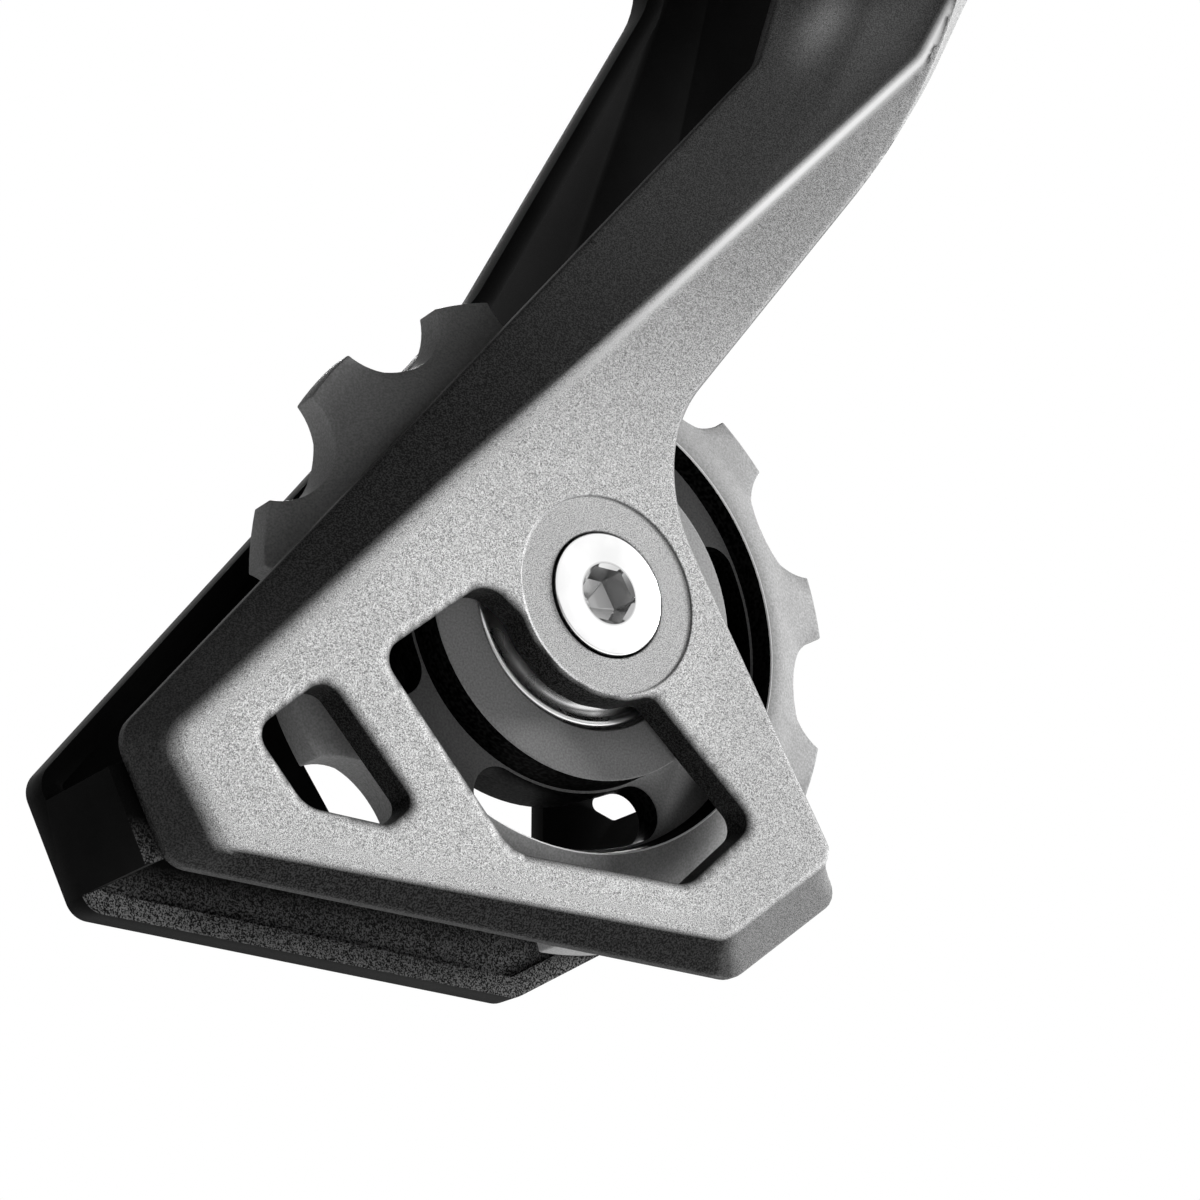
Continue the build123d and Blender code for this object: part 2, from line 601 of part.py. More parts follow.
with BuildPart() as knuckle_cover:
    with BuildSketch(side_plane(pivot, barrel_start_y)):
        Circle(COVER_RADIUS)
    extrude(amount=COVER_THICKNESS)
    chamfer(faces().sort_by(Axis.Y)[0].edges(), COVER_CHAMFER)
    with BuildSketch(side_plane(pivot, barrel_start_y)):
        Circle(CLIP_ROOM_RADIUS - SEAT_GAP)
        Circle(COVER_SPIGOT_BORE, mode=Mode.SUBTRACT)
    extrude(amount=-COVER_SPIGOT)
save(knuckle_cover, "knuckle_cover")

with BuildPart() as cage_seal:
    with BuildSketch(side_plane(pivot, barrel_end_y)):
        Circle(SEAL_OUTER_RADIUS)
        Circle(SEAL_INNER_RADIUS, mode=Mode.SUBTRACT)
    extrude(amount=-SEAL_THICKNESS)
save(cage_seal, "cage_seal")

with BuildPart() as cage_spring:
    spring_start_y = barrel_end_y - SPRING_ROOM_DEPTH + CAGE_SPRING_FOOT
    coil_height = SPRING_ROOM_DEPTH - CAGE_SPRING_FOOT - CAGE_SPRING_HEAD
    coil_foot = (pivot.X, spring_start_y, pivot.Z)
    coil_pitch = coil_height / CAGE_SPRING_TURNS
    with BuildLine():
        coil = Helix(coil_pitch, coil_height, CAGE_SPRING_RADIUS, center=coil_foot, direction=(0, 1, 0))
    with BuildSketch(Plane(origin=coil @ 0, z_dir=coil % 0)):
        Circle(CAGE_SPRING_WIRE)
    sweep(is_frenet=True)
    with BuildSketch(Plane(origin=coil @ 1, z_dir=(0, 1, 0))):
        Circle(CAGE_SPRING_WIRE)
    extrude(amount=barrel_end_y + SEAL_THICKNESS - (coil @ 1).Y)
save(cage_spring, "cage_spring")

# Upper knuckle: barrel on the hanger bolt, arm with two pin bosses, cable inlet and
# the lug of the hanger angle screw
upper_end_y = -STOP_PLATE_THICKNESS - FACE_GAP
upper_start_y = upper_end_y - UPPER_BARREL_LENGTH
lug_middle_x = (STOP_TAB_INNER_X + STOP_TAB_OUTER_X) / 2
lug_bottom_z = STOP_TAB_TOP_Z + SCREW_LUG_STAND
lug_y = upper_end_y - STOP_TAB_WIDTH / 2
hanger = Vector(0, 0, 0)
inlet_plane = Plane(origin=(INLET_BOSS_END_X, INLET_Y, INLET_Z), x_dir=(0, 1, 0), z_dir=(-1, 0, 0))

with BuildPart() as upper_knuckle:
    with BuildSketch(side_plane(hanger, upper_end_y)):
        Circle(UPPER_BARREL_RADIUS)
    extrude(amount=UPPER_BARREL_LENGTH)
    chamfer(faces().sort_by(Axis.Y)[0].edges(), HANGER_CHAMFER)
    with BuildSketch(upper_plane):
        with Locations(*pivot_places):
            Circle(BOSS_RADIUS)
        with BuildLine():
            Line(*UPPER_ARM_FOOT)
        make_hull()
    extrude(amount=BOSS_HALF_WIDTH, both=True)
    with BuildSketch(inlet_plane):
        Circle(INLET_BOSS_RADIUS)
    extrude(amount=INLET_BOSS_END_X)
    with BuildSketch(side_plane(hanger, upper_end_y)):
        with BuildLine():
            Polyline(
                (SCREW_LUG_ROOT_X, lug_bottom_z + SCREW_LUG_HEIGHT + SCREW_LUG_FLARE),
                (STOP_TAB_OUTER_X, lug_bottom_z + SCREW_LUG_HEIGHT),
                (STOP_TAB_OUTER_X, lug_bottom_z), (SCREW_LUG_ROOT_X, lug_bottom_z), close=True,
            )
        make_face()
    extrude(amount=STOP_TAB_WIDTH)
    with BuildSketch(side_plane(hanger, upper_end_y)):
        Circle(HANGER_SHANK_RADIUS + RUNNING_GAP)
    extrude(amount=UPPER_BARREL_LENGTH, mode=Mode.SUBTRACT)
    with BuildSketch(upper_plane):
        with Locations(*pivot_places):
            Circle(PIN_RADIUS + RUNNING_GAP)
    extrude(amount=BOSS_HALF_WIDTH, both=True, mode=Mode.SUBTRACT)
    with BuildSketch(inlet_plane):
        Circle(BARREL_STEM_RADIUS + RUNNING_GAP)
    extrude(amount=-(BARREL_STEM_LENGTH + 1), mode=Mode.SUBTRACT)
    with BuildSketch(inlet_plane):
        Circle(CABLE_BORE_RADIUS)
    extrude(amount=INLET_BOSS_END_X - UPPER_BARREL_RADIUS, mode=Mode.SUBTRACT)
    with BuildSketch(Plane(origin=(ANGLE_SCREW_X, lug_y, lug_bottom_z), x_dir=(1, 0, 0), z_dir=(0, 0, 1))):
        Circle(ANGLE_SCREW_RADIUS + SEAT_GAP)
    extrude(amount=SCREW_LUG_HEIGHT + 2, mode=Mode.SUBTRACT)
    limit_plane = Plane(
        origin=upper_middle - along * LIMIT_SCREW_SETBACK - across * half_spacing,
        x_dir=pin_axis, z_dir=-across,
    )
    head_plane = limit_plane.offset(LIMIT_SCREW_STAND)
    with BuildSketch(head_plane):
        with GridLocations(LIMIT_SCREW_SPACING, 1, 2, 1):
            Circle(LIMIT_HEAD_RADIUS + FACE_GAP)
    extrude(amount=HANGER_HEAD_RADIUS, mode=Mode.SUBTRACT)
    with BuildSketch(head_plane):
        with GridLocations(LIMIT_SCREW_SPACING, 1, 2, 1):
            Circle(LIMIT_SCREW_RADIUS + SEAT_GAP)
    extrude(amount=-LIMIT_SCREW_LENGTH, mode=Mode.SUBTRACT)
save(upper_knuckle, "upper_knuckle")

with BuildPart() as limit_screws:
    with BuildSketch(head_plane):
        with GridLocations(LIMIT_SCREW_SPACING, 1, 2, 1):
            Circle(LIMIT_HEAD_RADIUS)
    extrude(amount=SCREW_HEAD_HEIGHT)
    with BuildSketch(head_plane):
        with GridLocations(LIMIT_SCREW_SPACING, 1, 2, 1):
            Circle(LIMIT_SCREW_RADIUS)
    extrude(amount=-LIMIT_SCREW_LENGTH)
save(limit_screws, "limit_screws")

with BuildPart() as hanger_bolt:
    with BuildSketch(side_plane(hanger, HANGER_THREAD_LENGTH)):
        Circle(HANGER_THREAD_RADIUS)
    extrude(amount=HANGER_THREAD_LENGTH)
    chamfer(faces().sort_by(Axis.Y)[-1].edges(), HANGER_CHAMFER)
    with BuildSketch(side_plane(hanger, 0)):
        Circle(HANGER_SHANK_RADIUS)
    extrude(amount=-upper_start_y + FACE_GAP)
    with BuildSketch(side_plane(hanger, upper_start_y - FACE_GAP)):
        Circle(HANGER_HEAD_RADIUS)
    extrude(amount=HANGER_HEAD_HEIGHT)
    chamfer(faces().sort_by(Axis.Y)[0].edges(), HANGER_CHAMFER)
    head_top = side_plane(hanger, upper_start_y - FACE_GAP - HANGER_HEAD_HEIGHT)
    add(hex_socket(head_top, HANGER_SOCKET_FLATS, HANGER_SOCKET_DEPTH), mode=Mode.SUBTRACT)
save(hanger_bolt, "hanger_bolt")

with BuildPart() as stop_plate:
    with BuildSketch(side_plane(hanger, 0)):
        Circle(STOP_PLATE_RADIUS)
        with BuildLine():
            Polyline(
                (STOP_TAB_ROOT_X, STOP_TAB_ROOT_TOP_Z), (STOP_TAB_OUTER_X, STOP_TAB_TOP_Z),
                (STOP_TAB_OUTER_X, STOP_TAB_TOP_Z - STOP_TAB_THICKNESS),
                (STOP_TAB_ROOT_X, STOP_TAB_ROOT_BOTTOM_Z), close=True,
            )
        make_face()
        Circle(HANGER_SHANK_RADIUS + SEAT_GAP, mode=Mode.SUBTRACT)
    extrude(amount=STOP_PLATE_THICKNESS)
    with BuildSketch(side_plane(hanger, 0)):
        with Locations((lug_middle_x, STOP_TAB_TOP_Z - STOP_TAB_THICKNESS / 2)):
            Rectangle(STOP_TAB_INNER_X - STOP_TAB_OUTER_X, STOP_TAB_THICKNESS)
    extrude(amount=STOP_PLATE_THICKNESS + STOP_TAB_WIDTH)
save(stop_plate, "stop_plate")

with BuildPart() as angle_screw:
    screw_tip = (ANGLE_SCREW_X, lug_y, STOP_TAB_TOP_Z + RUNNING_GAP)
    screw_foot = Plane(origin=screw_tip, x_dir=(1, 0, 0), z_dir=(0, 0, 1))
    with BuildSketch(screw_foot):
        Circle(ANGLE_SCREW_RADIUS)
    extrude(amount=ANGLE_SCREW_LENGTH)
    with BuildSketch(screw_foot.offset(ANGLE_SCREW_LENGTH)):
        Circle(ANGLE_SCREW_HEAD_RADIUS)
    extrude(amount=SCREW_HEAD_HEIGHT)
save(angle_screw, "hanger_angle_screw")

with BuildPart() as barrel_adjuster:
    knob_plane = inlet_plane.offset(BARREL_KNOB_GAP)
    with BuildSketch(knob_plane):
        Circle(BARREL_KNOB_RADIUS)
        with PolarLocations(BARREL_KNOB_RADIUS + FLUTE_STAND, KNOB_FLUTES):
            Circle(FLUTE_RADIUS, mode=Mode.SUBTRACT)
    extrude(amount=BARREL_KNOB_LENGTH)
    with BuildSketch(knob_plane):
        Circle(BARREL_STEM_RADIUS)
    extrude(amount=-(BARREL_STEM_LENGTH + BARREL_KNOB_GAP))
    with BuildSketch(knob_plane.offset(BARREL_KNOB_LENGTH)):
        Circle(HOUSING_BORE_RADIUS)
    extrude(amount=-HOUSING_BORE_DEPTH, mode=Mode.SUBTRACT)
    with BuildSketch(knob_plane.offset(BARREL_KNOB_LENGTH)):
        Circle(CABLE_BORE_RADIUS)
    extrude(amount=-(BARREL_KNOB_LENGTH + BARREL_KNOB_GAP + BARREL_STEM_LENGTH), mode=Mode.SUBTRACT)
save(barrel_adjuster, "barrel_adjuster")

# Links: channels that straddle the knuckles' bosses, one wall outboard and one inboard
ear_start = BOSS_HALF_WIDTH + FACE_GAP
ear_end = ear_start + EAR_THICKNESS


def link_frame(offset_along_across):
    """Frame of a link at rest, at its upper pin: X along the link, Z along the pins."""
    origin = upper_middle + across * offset_along_across
    return Plane(origin=origin, x_dir=link_direction, z_dir=pin_axis)


def link_body(frame, wall_side):
    """Channel section: ears round both pins, joined by a wall on one side."""
    near = wall_side * LINK_WALL_OFFSET
    far = wall_side * (LINK_WALL_OFFSET + LINK_WALL)
    wall_ends = (LINK_WALL_SETBACK, LINK_LENGTH - LINK_WALL_SETBACK)
    room = 2 * PIVOT_SPACING
    with BuildPart() as channel:
        with BuildSketch(frame):
            with Locations((0, 0), (LINK_LENGTH, 0)):
                Circle(EAR_RADIUS)
            with BuildLine():
                Line((wall_ends[0], far), (wall_ends[1], far))
            make_hull()
        extrude(amount=ear_end, both=True)
        with BuildSketch(frame):
            with Locations((LINK_LENGTH / 2, near - wall_side * room / 2)):
                Rectangle(LINK_LENGTH + room, room)
        extrude(amount=ear_start, both=True, mode=Mode.SUBTRACT)
        with BuildSketch(frame):
            wall_end_place = near + wall_side * room / 2
            with Locations((0, wall_end_place), (LINK_LENGTH, wall_end_place)):
                Rectangle(2 * LINK_WALL_SETBACK, room)
        extrude(amount=ear_start, both=True, mode=Mode.SUBTRACT)
        with BuildSketch(frame):
            with Locations((LINK_LENGTH / 2, -wall_side * LINK_SCALLOP_OFFSET)):
                Ellipse(LINK_LENGTH / 2 - EAR_RADIUS - LINK_SCALLOP_MARGIN, LINK_SCALLOP_HEIGHT)
        extrude(amount=ear_end, both=True, mode=Mode.SUBTRACT)
        with BuildSketch(frame):
            with Locations((0, 0), (LINK_LENGTH, 0)):
                Circle(PIN_RADIUS + SEAT_GAP)
        extrude(amount=ear_end, both=True, mode=Mode.SUBTRACT)
    return channel.part


outer_frame = link_frame(-half_spacing)
inner_frame = link_frame(half_spacing)
anchor_plane = Plane(
    origin=outer_frame.from_local_coords((ANCHOR_PLACE, -LINK_WALL_OFFSET - LINK_WALL, 0)),
    x_dir=outer_frame.x_dir, z_dir=-outer_frame.y_dir,
)

with BuildPart() as outer_link:
    add(link_body(outer_frame, -1))
    with BuildSketch(anchor_plane):
        Circle(ANCHOR_BOSS_RADIUS)
    extrude(amount=ANCHOR_BOSS_HEIGHT)
    with BuildSketch(anchor_plane.offset(ANCHOR_BOSS_HEIGHT)):
        Circle(ANCHOR_BOLT_RADIUS + SEAT_GAP)
    extrude(amount=-(ANCHOR_BOSS_HEIGHT + LINK_WALL), mode=Mode.SUBTRACT)
save(outer_link, "outer_link")

with BuildPart() as inner_link:
    add(link_body(inner_frame, 1))
save(inner_link, "inner_link")

with BuildPart() as clamp_washer:
    with BuildSketch(anchor_plane.offset(ANCHOR_BOSS_HEIGHT)):
        Circle(ANCHOR_WASHER_RADIUS)
        Circle(ANCHOR_BOLT_RADIUS + SEAT_GAP, mode=Mode.SUBTRACT)
    extrude(amount=ANCHOR_WASHER_THICKNESS)
save(clamp_washer, "cable_clamp_washer")

with BuildPart() as anchor_bolt:
    anchor_seat = anchor_plane.offset(ANCHOR_BOSS_HEIGHT + ANCHOR_WASHER_THICKNESS)
    with BuildSketch(anchor_seat):
        Circle(ANCHOR_HEAD_RADIUS)
    extrude(amount=ANCHOR_HEAD_HEIGHT)
    with BuildSketch(anchor_seat):
        Circle(ANCHOR_BOLT_RADIUS)
    extrude(amount=-(ANCHOR_WASHER_THICKNESS + ANCHOR_BOSS_HEIGHT + LINK_WALL))
    head_top = anchor_seat.offset(ANCHOR_HEAD_HEIGHT)
    add(hex_socket(head_top, ANCHOR_SOCKET_FLATS, ANCHOR_SOCKET_DEPTH), mode=Mode.SUBTRACT)
save(anchor_bolt, "cable_anchor_bolt")

# Link pins, headed at the upper end of the slanted axis
for pin_name, pin_frame, pin_place in (
    ("outer_link_upper_pin", outer_frame, 0),
    ("outer_link_lower_pin", outer_frame, LINK_LENGTH),
    ("inner_link_upper_pin", inner_frame, 0),
    ("inner_link_lower_pin", inner_frame, LINK_LENGTH),
):
    with BuildPart() as pin:
        with BuildSketch(pin_frame.offset(-ear_end - PIN_END_PROUD)):
            with Locations((pin_place, 0)):
                Circle(PIN_RADIUS)
        extrude(amount=2 * ear_end + PIN_END_PROUD)
        with BuildSketch(pin_frame.offset(ear_end)):
            with Locations((pin_place, 0)):
                Circle(PIN_HEAD_RADIUS)
        extrude(amount=PIN_HEAD_THICKNESS)
    save(pin, pin_name)

# Return spring: drawn from the upper outer boss to the lower inner one
with BuildPart() as link_spring:
    upper_boss = upper_middle - across * half_spacing
    lower_boss = lower_middle + across * half_spacing
    spring_line = (lower_boss - upper_boss).normalized()
    spring_span = (lower_boss - upper_boss).length - 2 * (BOSS_RADIUS + LINK_SPRING_END_GAP)
    coil_length = spring_span - 2 * LINK_SPRING_LEG
    coil_start = upper_boss + spring_line * (BOSS_RADIUS + LINK_SPRING_END_GAP + LINK_SPRING_LEG)
    link_coil_pitch = coil_length / LINK_SPRING_TURNS
    with BuildLine():
        link_coil = Helix(
            link_coil_pitch, coil_length, LINK_SPRING_RADIUS, center=coil_start, direction=spring_line,
        )
    with BuildSketch(Plane(origin=link_coil @ 0, z_dir=link_coil % 0)):
        Circle(LINK_SPRING_WIRE)
    sweep(is_frenet=True)
    with BuildSketch(Plane(origin=link_coil @ 0, z_dir=-spring_line)):
        Circle(LINK_SPRING_WIRE)
    extrude(amount=LINK_SPRING_LEG)
    with BuildSketch(Plane(origin=link_coil @ 1, z_dir=spring_line)):
        Circle(LINK_SPRING_WIRE)
    extrude(amount=LINK_SPRING_LEG)
save(link_spring, "linkage_return_spring")
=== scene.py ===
"""Dressed rear derailleur: finishes, detail pieces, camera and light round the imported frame.

Every length is in millimetres until a mesh is made, and every piece is made in the frame's
own place: the origin is on the hanger bolt at the hanger's outboard face, +X points
forward, +Y inboard and +Z up.
"""

import json
import logging
import math
from collections.abc import Callable, Iterator
from contextlib import contextmanager
from dataclasses import dataclass, field
from enum import Enum

import bmesh
import bpy
import numpy as np
from mathutils import Matrix, Vector
from mathutils.geometry import delaunay_2d_cdt


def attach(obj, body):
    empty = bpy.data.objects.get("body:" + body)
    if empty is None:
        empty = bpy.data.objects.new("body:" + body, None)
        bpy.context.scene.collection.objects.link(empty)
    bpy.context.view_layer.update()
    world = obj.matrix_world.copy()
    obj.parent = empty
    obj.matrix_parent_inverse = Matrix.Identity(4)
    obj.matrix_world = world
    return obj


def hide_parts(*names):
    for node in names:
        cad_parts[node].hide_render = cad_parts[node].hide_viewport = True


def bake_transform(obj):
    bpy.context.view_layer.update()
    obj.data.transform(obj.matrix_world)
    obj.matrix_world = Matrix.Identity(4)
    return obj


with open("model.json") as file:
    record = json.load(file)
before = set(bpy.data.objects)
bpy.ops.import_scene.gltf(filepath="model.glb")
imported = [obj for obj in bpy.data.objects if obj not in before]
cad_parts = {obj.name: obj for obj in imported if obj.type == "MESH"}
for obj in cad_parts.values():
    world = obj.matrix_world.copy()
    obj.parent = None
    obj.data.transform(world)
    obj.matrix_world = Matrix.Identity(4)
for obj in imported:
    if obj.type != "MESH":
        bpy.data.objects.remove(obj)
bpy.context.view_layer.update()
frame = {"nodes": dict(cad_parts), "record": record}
LOG = logging.getLogger("derailleur")
MM = 0.001

Point = tuple[float, float]
Place = tuple[float, float, float]
Colour = tuple[float, float, float, float]
Radius = float | Callable[[np.ndarray], np.ndarray]
Row = tuple[Radius, float]

ORIGIN = (0.0, 0.0, 0.0)
UP = (0.0, 0.0, 1.0)
MERGE_M, DEGENERATE_M = 1e-6, 1e-7


class Side(Enum):
    """Which way a piece faces across the bicycle, as its direction along Y."""

    OUTBOARD = -1.0
    INBOARD = 1.0


class Curve(Enum):
    """How a shader spaces the values between the two ends of a range."""

    STRAIGHT = "LINEAR"
    SMOOTH = "SMOOTHSTEP"


class Domain(Enum):
    """What a number painted on a mesh belongs to."""

    POINT = "POINT"
    FACE = "FACE"


class Layout(Enum):
    """How a pattern's copies stand: round Z, or one after the other along Z."""

    RING = "ring"
    ROW = "row"


# --------------------------------------------------------------------------- finishes


class NodeDesk:
    """Lays out and links the shader nodes of one tree."""

    # The Mix node has sockets of the same name for each kind of value, so its colours go by number.
    MIX_FACTOR, MIX_FIRST, MIX_SECOND, MIX_RESULT = 0, 6, 7, 2

    def __init__(self, tree: bpy.types.NodeTree) -> None:
        """Take a tree.

        Args:
            tree: The tree that the nodes go into.
        """
        self.tree = tree

    def add(self, kind: str, settings: dict[str, object] | None = None,
            **inputs: object) -> bpy.types.Node:
        """Add a node.

        Args:
            kind: The node's type, without its ShaderNode prefix.
            settings: Properties of the node.
            inputs: Socket values, or other nodes' output sockets, by name with _ for a space.

        Returns:
            The new node.
        """
        node = self.tree.nodes.new("ShaderNode" + kind)
        for key, value in (settings or {}).items():
            setattr(node, key, value)
        for key, value in inputs.items():
            self.feed(node, key.replace("_", " "), value)
        return node

    def feed(self, node: bpy.types.Node, socket: str | int, value: object) -> None:
        """Set a socket, or link it where the value is itself a socket.

        Args:
            node: The node that is fed.
            socket: The input's name or number.
            value: A number, a colour or an output socket.
        """
        if isinstance(value, bpy.types.NodeSocket):
            self.tree.links.new(value, node.inputs[socket])
        else:
            node.inputs[socket].default_value = value

    def reckon(self, operation: str, first: object, second: object) -> bpy.types.NodeSocket:
        """Work out one number from two.

        Args:
            operation: The Math node's operation.
            first: A number or a socket.
            second: A number or a socket.

        Returns:
            The result's socket.
        """
        node = self.add("Math", {"operation": operation})
        self.feed(node, 0, first)
        self.feed(node, 1, second)
        return node.outputs["Value"]

    def ramp(self, value: bpy.types.NodeSocket, given: Point, wanted: Point = (0.0, 1.0),
             curve: Curve = Curve.STRAIGHT) -> bpy.types.NodeSocket:
        """Map one range of a value onto another, and hold it at both ends.

        Args:
            value: The value.
            given: The range that it has.
            wanted: The range that it gets.
            curve: How the values in between are spaced.

        Returns:
            The mapped value's socket.
        """
        node = self.add("MapRange", {"interpolation_type": curve.value}, Value=value,
                        From_Min=given[0], From_Max=given[1], To_Min=wanted[0], To_Max=wanted[1])
        return node.outputs["Result"]

    def mix(self, factor: object, first: object, second: object) -> bpy.types.NodeSocket:
        """Mix two colours.

        Args:
            factor: A number or a socket, 0 for the first colour.
            first: A colour or a socket.
            second: A colour or a socket.

        Returns:
            The mixed colour's socket.
        """
        node = self.add("Mix", {"data_type": "RGBA"})
        self.feed(node, self.MIX_FACTOR, factor)
        self.feed(node, self.MIX_FIRST, first)
        self.feed(node, self.MIX_SECOND, second)
        return node.outputs[self.MIX_RESULT]


class FinishDesk(NodeDesk):
    """Desk for one material, with its shader and the object's own coordinates."""

    NOISE_SPAN = (0.3, 0.7)

    def __init__(self, name: str) -> None:
        """Make an empty material.

        Args:
            name: The material's name.
        """
        self.material = bpy.data.materials.new(name)
        self.material.use_nodes = True
        super().__init__(self.material.node_tree)
        self.shader = self.tree.nodes["Principled BSDF"]
        self.coordinates = self.add("TexCoord").outputs["Object"]

    def noise(self, size_mm: float, detail: float) -> bpy.types.NodeSocket:
        """Noise on the object's own coordinates.

        Args:
            size_mm: About how large one patch of it is.
            detail: Octaves.

        Returns:
            The noise's factor socket.
        """
        noise = self.add("TexNoise", Vector=self.coordinates, Scale=1.0 / (size_mm * MM), Detail=detail)
        return noise.outputs["Fac"]

    def spread(self, factor: bpy.types.NodeSocket, low: float, high: float) -> bpy.types.NodeSocket:
        """Map a noise factor's middle part, where most of it lies, onto a range.

        Args:
            factor: The noise.
            low: Value where the noise is low.
            high: Value where it is high.

        Returns:
            The mapped value's socket.
        """
        return self.ramp(factor, self.NOISE_SPAN, (low, high))

    def painted(self, name: str) -> bpy.types.NodeSocket:
        """Read a number that is painted on the mesh.

        Args:
            name: The attribute's name.

        Returns:
            The number's socket, 0 where the mesh has none.
        """
        return self.add("Attribute", {"attribute_name": name}).outputs["Fac"]

    def surface(self, **inputs: object) -> None:
        """Feed the shader.

        Args:
            inputs: Values or sockets by the input's name, with _ for a space.
        """
        for key, value in inputs.items():
            self.feed(self.shader, key.replace("_", " "), value)

    def bump(self, height: bpy.types.NodeSocket, depth_mm: float, strength: float) -> None:
        """Roughen the surface by a height pattern.

        Args:
            height: The pattern.
            depth_mm: Depth of the pattern.
            strength: How much of it shows.
        """
        node = self.add("Bump", Strength=strength, Distance=depth_mm * MM, Height=height)
        self.surface(Normal=node.outputs["Normal"])


def grey(level: float) -> Colour:
    """A neutral colour of one linear level."""
    return (level, level, level, 1.0)


@dataclass(frozen=True)
class GrainPaint:
    """Satin paint with a fine metallic grain.

    The mesh attribute "shade" is 1 where shade is painted in, as on a bevel turned from the light, and
    "gleam" is 1 where a highlight is painted, as along a ridge.

    Attributes:
        name: The material's name, which is also its slot.
        face: Level of the light face.
        bevel: Level of the painted shade, as on the dark bevels.
        roughness: Roughness in the middle of its swing.
        grain_mm: Size of one grain.
        grain_depth: Depth of the grain's bump.
        grain_strength: How much of the bump shows.
        sparkle: How far the light face swings about its level.
        specular: Strength of its reflection.
        low_z: Heights between which the shaded level sets in downward, where it does; on the inner plate it
            paints light low down.
        speck_size: Size of the dark side's specks, as a multiple of the grain.
        speck_cover: Where the specks start; below 0 they cover less.
        speck_range: Levels of the dark side, as multiples of the bevel's.
        highlight_level: Level of the painted highlight.
        cloud_mm: Size of the faint clouds.
        cloud_share: How much they darken.
        roughness_swing: How far the roughness swings.
    """

    name: str
    face: float
    bevel: float
    roughness: float
    grain_mm: float = 0.14
    grain_depth: float = 0.012
    grain_strength: float = 0.5
    sparkle: float = 0.25
    specular: float = 0.35
    low_z: Point | None = None
    speck_size: float = 1.7
    speck_cover: float = -0.2
    speck_range: Point = (0.1, 3.0)
    highlight_level: float = 0.95
    cloud_mm: float = 9.0
    cloud_share: float = 0.06
    roughness_swing: float = 0.06

    def build(self) -> bpy.types.Material:
        """Build the material.

        Returns:
            The finished material. It reads the attributes "shade" and "gleam".
        """
        desk = FinishDesk(self.name)
        grain = desk.noise(self.grain_mm, 1.0)
        cloud = desk.noise(self.cloud_mm, 3.0)
        specks = desk.noise(self.grain_mm * self.speck_size, 0.0)
        light = desk.mix(desk.spread(grain, 0.0, 1.0), grey(self.face * (1 - self.sparkle)),
                         grey(self.face * (1 + self.sparkle)))
        dark = desk.mix(desk.spread(specks, self.speck_cover, 1.0),
                        *(grey(self.bevel * share) for share in self.speck_range))
        darkness = desk.painted("shade")
        if self.low_z:
            height = desk.add("SeparateXYZ", Vector=desk.coordinates).outputs["Z"]
            low = desk.ramp(height, tuple(z * MM for z in self.low_z))
            darkness = desk.reckon("MULTIPLY", darkness, low)
        # The painted shade mixes the light face towards the dark level, then the painted highlight mixes it
        # towards white.
        wear_shade_and_highlight = desk.mix(desk.painted("gleam"), desk.mix(darkness, light, dark), grey(self.highlight_level))
        desk.surface(
            Base_Color=desk.mix(desk.spread(cloud, 0.0, self.cloud_share), wear_shade_and_highlight, grey(self.bevel)),
            Roughness=desk.spread(grain, self.roughness + self.roughness_swing,
                                  self.roughness - self.roughness_swing),
            Specular_IOR_Level=self.specular)
        desk.bump(grain, self.grain_depth, self.grain_strength)
        return desk.material


@dataclass(frozen=True)
class TurnedMetal:
    """Bare, plated or anodised metal with fine tool marks.

    Attributes:
        name: The material's name, which is also its slot.
        level: Level of the metal.
        roughness: Its roughness.
        mark_mm: Size of one tool mark.
        mark_depth: Depth of the marks' bump.
        mark_strength: How much of the bump shows.
        smudge_mm: Size of the smudges.
        smudge_range: Levels of the smudges, as multiples of the metal's.
        roughness_range: Roughness of the smudges, as multiples of the metal's.
        hollow_shade_share: Level of the shade painted into a hollow, as a share of the metal's.
    """

    name: str
    level: float
    roughness: float
    mark_mm: float = 0.3
    mark_depth: float = 0.004
    mark_strength: float = 0.4
    smudge_mm: float = 5.0
    smudge_range: Point = (0.9, 1.05)
    roughness_range: Point = (0.85, 1.2)
    hollow_shade_share: float = 0.02

    def build(self) -> bpy.types.Material:
        """Build the material.

        Returns:
            The finished material. It reads the attribute "shade", 1 where shade is painted into a hollow.
        """
        desk = FinishDesk(self.name)
        marks = desk.noise(self.mark_mm, 2.0)
        smudge = desk.noise(self.smudge_mm, 3.0)
        wear_shade_and_highlight = desk.mix(desk.spread(smudge, 0.0, 1.0),
                        *(grey(self.level * share) for share in self.smudge_range))
        desk.surface(
            Base_Color=desk.mix(desk.painted("shade"), wear_shade_and_highlight, grey(self.level * self.hollow_shade_share)),
            Roughness=desk.spread(smudge, *(self.roughness * share for share in self.roughness_range)),
            Metallic=1.0)
        desk.bump(marks, self.mark_depth, self.mark_strength)
        return desk.material


